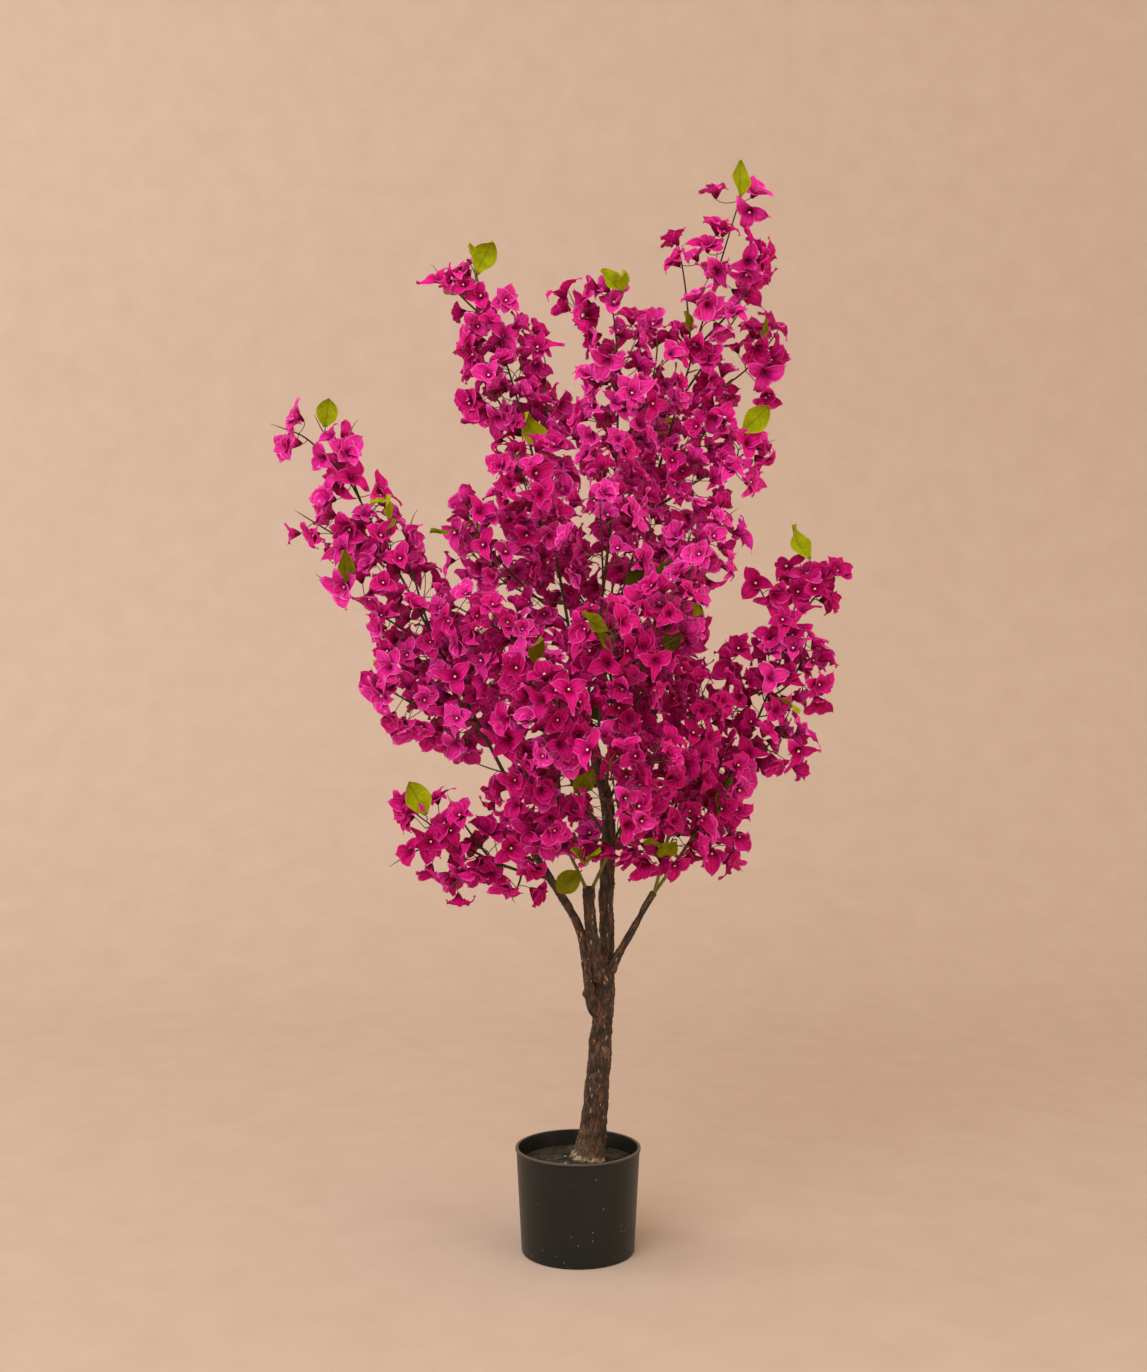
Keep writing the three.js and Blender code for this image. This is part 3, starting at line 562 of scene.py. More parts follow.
def make_limbs():
    lines = [smooth_path(axis, LIMB_STATION) for axis in LIMBS.values()]
    for row in lines[0]:
        row[3] *= 1 + FOOT_FLARE * math.exp(-(row[2] - FILL_TOP) / FOOT_FLARE_HEIGHT)
    shape = bmesh.new()
    for line in lines:
        add_limb(shape, line)
    bmesh.ops.recalc_face_normals(shape, faces=shape.faces)
    rough = add_object("rough_limbs", mesh_from(shape, "rough_limbs"))
    skin = rough.modifiers.new("skin", "REMESH")
    skin.mode = "VOXEL"
    skin.voxel_size = SKIN_PITCH
    even = rough.modifiers.new("even", "SMOOTH")
    even.iterations = SKIN_SMOOTHINGS
    mesh = bpy.data.meshes.new_from_object(rough.evaluated_get(bpy.context.evaluated_depsgraph_get()))
    bpy.data.objects.remove(rough)
    mesh.name = "bark_skin"
    points = np.zeros((len(mesh.vertices), 3))
    normals = np.zeros_like(points)
    mesh.vertices.foreach_get("co", points.ravel())
    mesh.vertices.foreach_get("normal", normals.ravel())
    moves, grain = bark_relief(points, lines)
    points = points + normals * moves[:, None]
    points[:, 2] = np.maximum(points[:, 2], FILL_TOP - SKIN_DEEPEST)
    mesh.vertices.foreach_set("co", points.ravel())
    attribute = mesh.attributes.new("grain", "FLOAT_VECTOR", "POINT")
    attribute.data.foreach_set("vector", grain.astype(np.float32).ravel())
    mesh.polygons.foreach_set("use_smooth", np.ones(len(mesh.polygons), bool))
    mesh.update()
    finish_piece("bark_skin", mesh, [make_bark()], list(LIMBS))


make_limbs()


# The sprays are artificial stems with silk bracts, each pushed into the end or side of a bough. A spray
# is a wire stem in dark brown plastic, green at its foot, that forks into arms. Twigs leave the arms
# by the same seeded rule as in the solids, so each bunch of bracts hangs where its solid does.
ARM_POINTS = 22
# Each plan is the place where the stem is set, the spray's seed and its arms. The first arm is the stem.
# The others leave it at a share of its length, the number that their row begins with. An arm bows past
# its first point and ends at its second. Then come the lengths of its twigs at its foot and at its tip,
# the share of it that bears none, and "leaf" where its last twig bears one or "open" where it is sparse.
SPRAY_PLANS = {
    "spray_far_left": ((-0.077, -0.021, 0.519), 101, [
        (0, (-0.18, -0.038, 0.72), (-0.27, -0.05, 0.887), (0.05, 0.03), 0.12, "leaf"),
        (0.85, (-0.284, -0.052, 0.886), (-0.303, -0.048, 0.892), (0.028, 0.026), 0.4),
        (0.16, (-0.16, -0.045, 0.59), (-0.203, -0.06, 0.617), (0.04, 0.03), 0.2),
        (0.1, (-0.12, 0.03, 0.59), (-0.185, 0.062, 0.668), (0.046, 0.038), 0.25),
        (0.35, (-0.206, -0.062, 0.694), (-0.256, -0.07, 0.725), (0.034, 0.024), 0.3, "leaf"),
        (0.6, (-0.25, -0.06, 0.776), (-0.278, -0.062, 0.793), (0.028, 0.024), 0.3),
        (0.8, (-0.25, -0.052, 0.862), (-0.246, -0.056, 0.88), (0.024, 0.022), 0.3),
        (0.4, (-0.184, -0.052, 0.752), (-0.18, -0.054, 0.784), (0.03, 0.024), 0.35),
    ]),
    "spray_low_left": ((-0.031, -0.016, 0.411), 211, [
        (0, (-0.1, -0.03, 0.424), (-0.171, -0.05, 0.482), (0.038, 0.032), 0.25, "leaf"),
        (0.22, (-0.062, -0.042, 0.408), (-0.068, -0.066, 0.401), (0.024, 0.022), 0.5),
        (0.45, (-0.116, -0.048, 0.462), (-0.13, -0.054, 0.486), (0.024, 0.02), 0.35),
        (0.35, (-0.106, -0.044, 0.428), (-0.124, -0.054, 0.416), (0.028, 0.024), 0.3),
        (0.7, (-0.16, -0.048, 0.452), (-0.18, -0.054, 0.441), (0.024, 0.02), 0.3),
    ]),
    "spray_upper_left": ((0.004, 0.0118, 0.586), 307, [
        (0, (-0.029, 0.03, 0.854), (-0.114, 0.058, 1.082), (0.044, 0.034), 0.3, "leaf"),
        (0.88, (-0.132, 0.056, 1.062), (-0.148, 0.056, 1.079), (0.026, 0.024), 0.4),
        (0.5, (-0.036, 0.058, 0.915), (-0.037, 0.07, 0.986), (0.036, 0.03), 0.25),
        (0.6, (-0.094, 0.04, 0.946), (-0.117, 0.04, 0.982), (0.03, 0.026), 0.2),
        (0.2, (-0.08, -0.034, 0.74), (-0.112, -0.06, 0.792), (0.042, 0.032), 0.3),
        (0.1, (-0.06, -0.058, 0.668), (-0.121, -0.09, 0.7), (0.042, 0.036), 0.4),
        (0.35, (-0.042, -0.05, 0.79), (-0.061, -0.09, 0.846), (0.04, 0.034), 0.3, "leaf"),
        (0.24, (-0.07, 0.08, 0.72), (-0.12, 0.11, 0.772), (0.042, 0.036), 0.35),
    ]),
    "spray_top_centre": ((0.007, 0.0065, 0.586), 401, [
        (0, (0.058, -0.05, 0.9), (0.036, -0.07, 1.02), (0.044, 0.034), 0.32, "leaf"),
        (0.55, (0.08, -0.03, 0.92), (0.086, -0.02, 0.986), (0.036, 0.032), 0.2),
        (0.7, (0.016, -0.068, 0.98), (0, -0.066, 1.016), (0.03, 0.026), 0.2),
        (0.24, (0.026, -0.075, 0.748), (0.022, -0.115, 0.812), (0.042, 0.038), 0.35),
    ]),
    "spray_top_right": ((0.01, 0.0118, 0.586), 503, [
        (0, (0.09, 0.026, 0.868), (0.176, -0.016, 1.15), (0.044, 0.03), 0.25, "leaf", "open"),
        (0.7, (0.122, 0.016, 1.056), (0.115, 0.026, 1.098), (0.028, 0.024), 0.4, "open"),
        (0.72, (0.186, -0.012, 1.046), (0.2, -0.02, 1.078), (0.026, 0.024), 0.25),
        (0.62, (0.177, 0.04, 0.95), (0.219, 0.048, 1.012), (0.032, 0.028), 0.25),
        (0.4, (0.132, -0.025, 0.846), (0.186, -0.05, 0.873), (0.038, 0.034), 0.3, "leaf"),
        (0.2, (0.102, -0.03, 0.742), (0.149, -0.06, 0.792), (0.042, 0.034), 0.35),
        (0.44, (0.13, -0.008, 0.884), (0.15, -0.026, 0.912), (0.032, 0.028), 0.25),
        (0.62, (0.156, 0.012, 1), (0.172, 0.004, 1.024), (0.026, 0.022), 0.3),
    ]),
    "spray_right_far": ((0.0805, -0.0075, 0.39), 601, [
        (0, (0.224, 0.016, 0.58), (0.25, 0.04, 0.743), (0.032, 0.038), 0.12, "leaf"),
        (0.82, (0.263, 0.038, 0.718), (0.284, 0.036, 0.74), (0.028, 0.026), 0.4),
        (0.6, (0.242, 0.02, 0.616), (0.252, 0.018, 0.662), (0.036, 0.028), 0.2),
        (0.75, (0.22, 0.026, 0.694), (0.204, 0.02, 0.726), (0.026, 0.022), 0.3),
        (0.4, (0.205, 0, 0.54), (0.227, 0.004, 0.58), (0.036, 0.034), 0.3),
        (0.5, (0.184, 0.004, 0.6), (0.169, 0.004, 0.648), (0.034, 0.028), 0.3),
        (0.3, (0.166, -0.008, 0.478), (0.17, -0.014, 0.442), (0.03, 0.026), 0.2),
        (0.25, (0.15, 0.07, 0.5), (0.161, 0.12, 0.524), (0.042, 0.036), 0.25),
    ]),
    "spray_right_inner": ((0.0825, -0.0115, 0.39), 701, [
        (0, (0.112, -0.044, 0.52), (0.13, -0.066, 0.606), (0.04, 0.034), 0.25),
        (0.16, (0.096, -0.048, 0.44), (0.098, -0.082, 0.458), (0.036, 0.034), 0.3),
    ]),
    "spray_front_left": ((0.0095, -0.017, 0.398), 809, [
        (0, (-0.02, -0.08, 0.47), (-0.062, -0.12, 0.545), (0.04, 0.038), 0.4),
        (0.5, (-0.016, -0.14, 0.56), (-0.02, -0.18, 0.617), (0.04, 0.038), 0.3),
        (0.35, (-0.034, -0.068, 0.456), (-0.054, -0.088, 0.452), (0.032, 0.028), 0.3),
    ]),
    "spray_front_right": ((0.0145, -0.017, 0.398), 907, [
        (0, (0.044, -0.08, 0.47), (0.08, -0.14, 0.561), (0.04, 0.038), 0.4, "leaf"),
        (0.5, (0.04, -0.14, 0.5), (0.031, -0.19, 0.54), (0.04, 0.036), 0.3),
        (0.35, (0.054, -0.072, 0.45), (0.072, -0.096, 0.446), (0.032, 0.028), 0.3),
    ]),
    "spray_front_mid": ((0.03, 0.012, 0.5), 1009, [
        (0, (0.04, -0.09, 0.6), (0.028, -0.18, 0.69), (0.044, 0.042), 0.35, "leaf"),
        (0.45, (0.072, -0.112, 0.64), (0.088, -0.15, 0.7), (0.042, 0.038), 0.25),
        (0.3, (0.092, -0.06, 0.64), (0.117, -0.088, 0.74), (0.042, 0.04), 0.3),
        (0.35, (-0.02, -0.084, 0.6), (-0.06, -0.11, 0.63), (0.042, 0.038), 0.3),
    ]),
    "spray_back_left": ((0.033, 0.011, 0.45), 1103, [
        (0, (-0.03, 0.09, 0.54), (-0.095, 0.19, 0.677), (0.048, 0.042), 0.3, "leaf"),
        (0.35, (-0.07, 0.09, 0.51), (-0.121, 0.126, 0.53), (0.042, 0.036), 0.3),
    ]),
    "spray_back_right": ((0.031, 0.012, 0.49), 1201, [
        (0, (0.08, 0.09, 0.56), (0.128, 0.19, 0.68), (0.048, 0.042), 0.35, "leaf"),
        (0.5, (0.07, 0.15, 0.58), (0.056, 0.206, 0.61), (0.044, 0.04), 0.25),
    ]),
    "spray_back_top": ((0.019, 0.011, 0.545), 1301, [
        (0, (0.04, 0.11, 0.7), (0.051, 0.165, 0.869), (0.046, 0.042), 0.3, "leaf"),
        (0.45, (-0.02, 0.12, 0.74), (-0.044, 0.14, 0.819), (0.044, 0.038), 0.25),
        (0.6, (0.09, 0.11, 0.86), (0.092, 0.1, 0.93), (0.042, 0.036), 0.25),
        (0.35, (0.1, 0.11, 0.7), (0.13, 0.12, 0.79), (0.044, 0.038), 0.25),
    ]),
    "spray_back_low": ((0.032, 0.01, 0.42), 1409, [
        (0, (0.035, 0.09, 0.43), (0.03, 0.17, 0.49), (0.042, 0.04), 0.35),
        (0.5, (-0.02, 0.12, 0.44), (-0.056, 0.13, 0.45), (0.038, 0.034), 0.3, "leaf"),
    ]),
}
GOLDEN_ANGLE = math.pi * (3 - math.sqrt(5))
TURN_PLAY = 0.5
TWIG_PITCH = 0.022
TWIG_ANGLE_FOOT = math.radians(72)
TWIG_ANGLE_TIP = math.radians(48)
END_TWIG_ANGLE = math.radians(14)
SHORTEST_TWIG = 0.55
END_TWIG_SHARE = 0.4
LEAF_TWIG_SHARE = 0.6
TWIG_TRIES = [(1, 1), (0.75, 1), (1, 0.75), (0.75, 0.75), (0.5, 0.75)]
LEAF_EVERY = 9
FIRST_LEAF = 4
FULL_REACH = 0.042
SMALLEST_SHARE = 0.7
BUNCH_RADIUS = 0.039
BUNCH_SPACING = 0.042
LEAF_SPACING = 0.020
SIZE_PLAY = 0.2
FACING_OUT = 0.3
FACING_PLAY = 0.9
SPACE_STEP = 0.005
SPACE_MARGIN = 0.0022
LIMB_MARGIN = 0.0025
BUNCH_OUTLINE = [(math.radians(turn), reach, lift) for turn, reach, lift in (
    (-37, 0.72, 0.22), (0, 1, 0.34), (37, 0.72, 0.22))]
SEED_STEP = 3331
DRAW_STEP = 16807
DRAW_RANGE = 2147483647


def seeded_random(seed):
    """Draws from 0 to 1 that come out the same each time."""
    state = seed * SEED_STEP
    while True:
        state = state * DRAW_STEP % DRAW_RANGE
        yield state / DRAW_RANGE


def mixed(a, b, share):
    return a + (b - a) * share


def curve_points(start, bend, end, count):
    """Points along the curve that leaves start towards bend and comes into end from it."""
    return [start.lerp(bend, t).lerp(bend.lerp(end, t), t) for t in (i / (count - 1) for i in range(count))]


def place_along(path, share):
    """The place and direction a share of the way along a chain of points."""
    reached = share * (len(path) - 1)
    link = min(int(reached), len(path) - 2)
    return path[link].lerp(path[link + 1], reached - link), (path[link + 1] - path[link]).normalized()


def square_to(direction):
    """A direction square to another one."""
    guide = Vector((1, 0, 0)) if abs(direction.z) > 0.9 else Vector((0, 0, 1))
    return guide.cross(direction).normalized()


def direction_round(side, other, angle):
    """The direction at an angle in the plane of two others."""
    return side * math.cos(angle) + other * math.sin(angle)


def tree_of(points):
    """A search tree of points."""
    tree = KDTree(len(points))
    for index, point in enumerate(points):
        tree.insert(point, index)
    tree.balance()
    return tree


def laid_out(root, seed, rows):
    """A spray as its plan gives it, with the path and length of each arm."""
    arms = []
    for at, bend, tip, reach, bare, *marks in rows:
        foot = place_along(arms[0]["path"], at)[0] if arms else Vector(root)
        path = curve_points(foot, Vector(bend), Vector(tip), ARM_POINTS)
        arms.append({"path": path, "length": sum((b - a).length for a, b in zip(path, path[1:])),
                     "reach": reach, "bare": bare, "leaf": "leaf" in marks, "open": "open" in marks})
    return {"seed": seed, "arms": arms}


sprays = {name: laid_out(*plan) for name, plan in SPRAY_PLANS.items()}


def share_out_space():
    """Gives every spray the search trees of its own arms and of all others, which tell its space."""
    spaces = {name: [] for name in sprays}
    for name, spray in sprays.items():
        for arm in spray["arms"]:
            steps = math.ceil(arm["length"] / SPACE_STEP)
            spaces[name] += [place_along(arm["path"], i / steps)[0] for i in range(steps + 1)]
    for name, spray in sprays.items():
        spray["own"] = tree_of(spaces[name])
        spray["others"] = tree_of([point for other in spaces if other != name for point in spaces[other]])


share_out_space()
limb_stations = np.vstack([smooth_path(axis, SPACE_STEP) for axis in LIMBS.values()])


def clear_of_limbs(point, margin):
    away = np.linalg.norm(limb_stations[:, :3] - np.array(point), axis=1) - limb_stations[:, 3]
    return away.min() > margin


def in_own_space(point, spray):
    own = spray["own"].find(point)[2]
    return spray["others"].find(point)[2] > own + SPACE_MARGIN and clear_of_limbs(point, LIMB_MARGIN)


def bunch_checks(foot, centre, facing, spin, radius):
    """The points of a bunch of blossom and its twig that have to lie in the spray's own space."""
    side = square_to(facing)
    other = facing.cross(side)
    points = [foot.lerp(centre, 1 / 3), foot.lerp(centre, 2 / 3)]
    for middle in (spin + 2 * math.pi * i / 3 for i in range(3)):
        for turn, reach, lift in BUNCH_OUTLINE:
            outward = direction_round(side, other, middle + turn)
            points.append(centre + radius * (reach * outward + lift * facing))
    return points


def played(draw):
    """A small random shift, up to half either way along each axis."""
    return Vector([next(draw) - 0.5 for _ in range(3)])


def twig_start(arm, t, angle, count, draw):
    """Where a twig leaves its arm, which way it runs, and which way it stands out from the arm."""
    foot, direction = place_along(arm["path"], t)
    across = square_to(direction)
    turn = count * GOLDEN_ANGLE + TURN_PLAY * next(draw)
    outward = direction.cross(across) * math.sin(turn) + across * math.cos(turn)
    return foot, direction * math.cos(angle) + outward * math.sin(angle), outward


def grow_twigs(spray):
    """Every twig that the rule gives a spray: its foot and end, how it faces, and what it bears."""
    draw = seeded_random(spray["seed"])
    twigs = []
    placed = []
    count = 0
    for arm in spray["arms"]:
        pitch = TWIG_PITCH * sum(arm["reach"]) / (2 * FULL_REACH)
        number = round(arm["length"] * (1 - arm["bare"]) / pitch)
        for i in range(number, -1, -1):
            count += 1
            at_end = i == number
            bears_leaf = arm["leaf"] if at_end else count % LEAF_EVERY == FIRST_LEAF
            t = arm["bare"] + (1 - arm["bare"]) * i / number
            angle = END_TWIG_ANGLE if at_end else mixed(TWIG_ANGLE_FOOT, TWIG_ANGLE_TIP, t)
            foot, forward, outward = twig_start(arm, t, angle, count, draw)
            reach = mixed(*arm["reach"], t)
            share = min(1, max(SMALLEST_SHARE, reach / FULL_REACH))
            length = reach * (SHORTEST_TWIG + (1 - SHORTEST_TWIG) * next(draw))
            length *= (END_TWIG_SHARE if at_end else 1) * (LEAF_TWIG_SHARE if bears_leaf else 1)
            facing = forward + outward * (0 if at_end else FACING_OUT) + played(draw) * FACING_PLAY
            facing.normalize()
            spin = 2 * math.pi * next(draw)
            radius = BUNCH_RADIUS * share * (1 + SIZE_PLAY * (next(draw) - 0.5))
            spacing = LEAF_SPACING if bears_leaf else BUNCH_SPACING * share
            for length_share, radius_share in TWIG_TRIES:
                end = foot + forward * length * length_share
                centre = end + forward * LEAF_LENGTH / 2 if bears_leaf else end
                size = radius * radius_share
                if any((other - centre).length < spacing for other in placed):
                    continue
                checks = ([end, centre, end + forward * LEAF_LENGTH] if bears_leaf
                          else bunch_checks(foot, end, facing, spin, size))
                if all(in_own_space(point, spray) for point in checks):
                    placed.append(centre)
                    twigs.append({"foot": foot, "end": end, "forward": forward, "facing": facing,
                                  "spin": spin, "radius": size, "leaf": bears_leaf, "tip": at_end})
                    break
    return twigs


class Pile:
    """Many small shapes gathered into one mesh, each face with its material and its place in the UV map."""

    def __init__(self):
        self.points, self.faces, self.places, self.looks = [], [], [], []
        self.count = 0

    def add(self, points, faces, places, look):
        self.points.append(points)
        self.faces += [[corner + self.count for corner in face] for face in faces]
        self.places.append(places)
        self.looks += [look] * len(faces)
        self.count += len(points)

    def mesh(self, name):
        mesh = bpy.data.meshes.new(name)
        mesh.from_pydata(np.vstack(self.points).tolist(), [], self.faces)
        layer = mesh.uv_layers.new(name="UVMap")
        layer.data.foreach_set("uv", np.vstack(self.places).astype(np.float32).ravel())
        mesh.polygons.foreach_set("material_index", self.looks)
        mesh.polygons.foreach_set("use_smooth", np.ones(len(mesh.polygons), bool))
        mesh.update()
        return mesh


def add_tube(pile, path, radii, sides, look):
    """Adds a round stem along a path, closed at both ends, to a pile."""
    points = []
    across = None
    last = len(path) - 1
    for station, centre in enumerate(path):
        forward = (path[min(station + 1, last)] - path[max(station - 1, 0)]).normalized()
        if across is None:
            across = square_to(forward)
        else:
            across = (across - across.dot(forward) * forward).normalized()
        third = forward.cross(across)
        points += [centre + radii[station] * direction_round(across, third, 2 * math.pi * side / sides)
                   for side in range(sides)]
    steps = [(side, (side + 1) % sides) for side in range(sides)]
    faces = [[ring + a, ring + b, ring + sides + b, ring + sides + a]
             for ring in range(0, last * sides, sides) for a, b in steps]
    faces += [list(range(sides))[::-1], list(range(last * sides, (last + 1) * sides))]
    places = [(corner % sides / sides, corner // sides / last) for face in faces for corner in face]
    pile.add(np.array([point[:] for point in points]), faces, places, look)


# A bract is a paper-thin, pointed oval of dyed silk, about 24 mm long, that rises steeply from the wire
# and then bends out, with pressed veins, a dark throat deepened with painted shade, and a pale belly and
# pale margins that are painted highlights. Three stand round a tiny cream flower. The blades come in a
# few pressings that curl, cup and twist in their own ways.
BRACT_CELLS = (4, 8)
# length, width, angle above the floret's plane at foot, middle and tip, cup, twist, how drawn out
BRACT_PRESSINGS = {
    "open": (0.0272, 0.0176, 74, 30, -18, 0.34, 0.0, 0.92),
    "cupped": (0.0254, 0.0178, 82, 56, 34, 0.50, 0.1, 0.80),
    "reflexed": (0.0292, 0.0164, 78, 22, -64, 0.30, 0.35, 1.15),
    "drawn": (0.0336, 0.0152, 72, 28, -34, 0.36, 0.8, 1.60),
    "broad": (0.0260, 0.0186, 78, 40, 4, 0.42, -0.15, 0.80),
    "wavy": (0.0284, 0.0168, 70, 18, 20, 0.26, -0.6, 1.05),
    "folded": (0.0270, 0.0168, 78, 42, 12, 0.70, 0.2, 1.00),
    "curled": (0.0310, 0.0158, 78, 28, -92, 0.34, 0.6, 1.40),
}
PRESSING_ORDER = ["open", "broad", "reflexed", "cupped", "drawn", "broad", "wavy", "open", "curled", "folded",
                  "reflexed"]
BRACT_CREASE = 0.08
# A blade bends between the first two shares of its length, and again between the second two.
FIRST_BEND = (0.05, 0.42)
SECOND_BEND = (0.5, 1.0)
# Waves along its margins and crumples over all of it, shifted from one pressing to the next.
RUFFLE = 0.20
RUFFLE_ALONG = 7
RUFFLE_ACROSS = 2.5
RUFFLE_SHIFT = 90
CRUMPLE = 0.0016
CRUMPLE_ALONG = 4
CRUMPLE_ACROSS = 3
CRUMPLE_LENGTH_SHIFT = 100
CRUMPLE_TWIST_SHIFT = 37
FOOT_WIDTH_SHARE = 0.16
TIP_WIDTH_SHARE = 0.012
BEND_STEPS = 63


def eased(low, high, value):
    """0 below low, 1 above high, and a soft step between."""
    share = min(1, max(0, (value - low) / (high - low)))
    return share * share * (3 - 2 * share)


def blade(cells, length, width, foot_angle, middle_angle, tip_angle, cup, twist, drawn, crease):
    """A pointed oval blade from the origin out along X, with its upper side towards +Z."""
    shape = bmesh.new()
    layer = shape.loops.layers.uv.new("UVMap")
    bmesh.ops.create_grid(shape, x_segments=cells[0], y_segments=cells[1], size=0.5, calc_uvs=False)
    for face in shape.faces:
        for loop in face.loops:
            loop[layer].uv = (loop.vert.co.x + 0.5, loop.vert.co.y + 0.5)

    def angle_at(share):
        bent = mixed(foot_angle, middle_angle, eased(*FIRST_BEND, share))
        return math.radians(bent + (tip_angle - middle_angle) * eased(*SECOND_BEND, share))

    reach, rise = [0.0], [0.0]
    for i in range(BEND_STEPS):
        angle = angle_at((i + 0.5) / BEND_STEPS)
        reach.append(reach[-1] + math.cos(angle) * length / BEND_STEPS)
        rise.append(rise[-1] + math.sin(angle) * length / BEND_STEPS)
    peak = 1 / (1 + drawn)
    crumple_shift = CRUMPLE_LENGTH_SHIFT * length + CRUMPLE_TWIST_SHIFT * twist
    for vert in shape.verts:
        u, v = vert.co.x * 2, vert.co.y + 0.5
        station = round(v * BEND_STEPS)
        angle = angle_at(v)
        outline = v / peak * ((1 - v) / (1 - peak)) ** drawn if 0 < v < 1 else 0
        half = width / 2 * max(outline, FOOT_WIDTH_SHARE * (1 - v) if v < 0.5 else TIP_WIDTH_SHARE)
        turn = twist * v * v
        wave = math.sin(RUFFLE_ALONG * v + RUFFLE_ACROSS * u + RUFFLE_SHIFT * length)
        lift = cup * half * u * u + RUFFLE * width * wave * u * u * v
        lift -= crease * width * (1 - abs(u)) * math.sin(math.pi * v)
        lift += CRUMPLE * noise.noise(Vector((CRUMPLE_ACROSS * u, CRUMPLE_ALONG * v, crumple_shift)))
        side = half * u * math.cos(turn) - lift * math.sin(turn)
        up = half * u * math.sin(turn) + lift * math.cos(turn)
        vert.co = (reach[station] - up * math.sin(angle), -side, rise[station] + up * math.cos(angle))
    shape.normal_update()
    if sum(face.normal.z for face in shape.faces) < 0:
        bmesh.ops.reverse_faces(shape, faces=shape.faces)
    return arrays_of(shape)


def arrays_of(shape):
    """A small shape as arrays that a pile can take many times."""
    shape.verts.index_update()
    layer = shape.loops.layers.uv.verify()
    points = np.array([vert.co[:] for vert in shape.verts])
    faces = [[vert.index for vert in face.verts] for face in shape.faces]
    places = np.array([loop[layer].uv[:] for face in shape.faces for loop in face.loops])
    shape.free()
    return points, faces, places


def add_shape(pile, arrays, place, along, up, size, look):
    """Adds a small shape to a pile, with its X along one direction and its Z towards another."""
    along = along.normalized()
    up = (up - up.dot(along) * along).normalized()
    turn = np.array([along[:], up.cross(along)[:], up[:]])
    points, faces, places = arrays
    pile.add(points @ turn * size + np.array(place), faces, places, look)


bract_shapes = [blade(BRACT_CELLS, *BRACT_PRESSINGS[name], crease=BRACT_CREASE) for name in PRESSING_ORDER]
VEIN_SLANT = 6.0


def make_blade_marks_group():
    """Where the throat, the veins, the margins and the pale belly of a blade lie, from its UV map; the belly
    and margins get painted highlights.
    """
    group, given = make_group(
        "blade_marks",
        {"Vector": ("Vector", None), "Vein Count": ("Float", 8.0), "Throat": ("Float", 0.3)},
        dict.fromkeys(("Throat", "Veins", "Margin", "Belly Highlight"), "Float"))
    across, along, _ = parts_of(group, given["Vector"])
    off_middle = calculated(group, "ABSOLUTE", calculated(group, "SUBTRACT", across, 0.5))
    slant = calculated(group, "MULTIPLY", off_middle, VEIN_SLANT)
    phase = calculated(group, "MULTIPLY_ADD", along, given["Vein Count"], slant)
    side_veins = ramped(group, calculated(group, "PINGPONG", phase, 1.0), 0.0, 0.16, 0.7, 0.0)
    midrib = ramped(group, off_middle, 0.012, 0.05, 1.0, 0.0)
    side_margin = ramped(group, off_middle, 0.39, 0.5)
    tip_margin = ramped(group, along, 0.86, 1.0)
    soft = {"interpolation_type": "SMOOTHSTEP"}
    belly_width = ramped(group, off_middle, 0.42, 0.16, **soft)
    belly_length = ramped(group, along, 0.2, 0.55, **soft)
    give_results(group, {
        "Throat": ramped(group, along, 0.0, given["Throat"], 1.0, 0.0, **soft),
        "Veins": calculated(group, "MAXIMUM", side_veins, midrib),
        "Margin": calculated(group, "MAXIMUM", side_margin, tip_margin),
        "Belly Highlight": calculated(group, "MULTIPLY", belly_width, belly_length)})
    return group


blade_marks_group = make_blade_marks_group()
# How strongly each mark covers what is under it, in the order in which they are painted. The belly and
# margin marks are painted highlights, and on a bract the throat is partly painted shade.
MARK_SHARES = {"Belly Highlight": 0.10, "Veins": 0.42, "Margin": 0.6, "Throat": 0.96}


def make_blade_material(name, dark, light, mark_tints, throat_length, vein_count):
    """Dyed silk or printed cloth: soft patches, then a painted highlight on its belly, its veins, a painted
    highlight on its margin, and its throat over them.
    """
    material, tree, shader, place = start_material(name, specular=0.05)
    shader.inputs["Diffuse Roughness"].default_value = 0.6
    marks = add_node(tree, "ShaderNodeGroup", {
        "Vector": add_node(tree, "ShaderNodeTexCoord").outputs["UV"], "Throat": throat_length,
        "Vein Count": vein_count}, node_tree=blade_marks_group).outputs
    cloth = patchy(tree, place, dark, light, 110, 1500, (0.45, 0.7))
    shade = cloth["Colour"]
    for (mark, share), tint in zip(MARK_SHARES.items(), mark_tints):
        shade = painted(tree, calculated(tree, "MULTIPLY", marks[mark], share), shade, colour(*tint))
    finish_material(tree, shader, shade, cloth["Roughness"], marks["Veins"], 0.0003)
    return material


# Each dye lot: its shade in the folds, its full shade, its pale pink painted on belly and margin as
# highlights, and its veins.
BRACT_TINTS = {
    "bract_magenta": ((200, 0, 116), (220, 0, 150), (236, 114, 208), (150, 0, 66)),
    "bract_deep": ((176, 0, 92), (198, 0, 124), (220, 78, 176), (122, 0, 50)),
    "bract_bright": ((218, 6, 148), (232, 32, 180), (244, 156, 228), (178, 0, 94)),
}
# A bract's throat colour is partly its own dark crimson centre and partly painted shade deep in the floret.
BRACT_THROAT_AND_SHADE = (96, 0, 20)
bract_materials = [
    make_blade_material(name, dark, light, (pale, vein, pale, BRACT_THROAT_AND_SHADE), throat_length=0.52, vein_count=7)
    for name, (dark, light, pale, vein) in BRACT_TINTS.items()]


# Each floret's heart is a slender tube with a cream flower the size of a bead, or a tuft of rust-brown
# stamens where the bead has not opened. Both are moulded on the end of the wire.
HEART_LENGTH = 0.0085
BEAD_RADIUS = 0.0015
TUBE_RADII = (0.0007, 0.0005)
STAMEN_RADII = (0.0006, 0.0003)
STAMEN_COUNT = 3
STAMEN_LEAN = 0.32


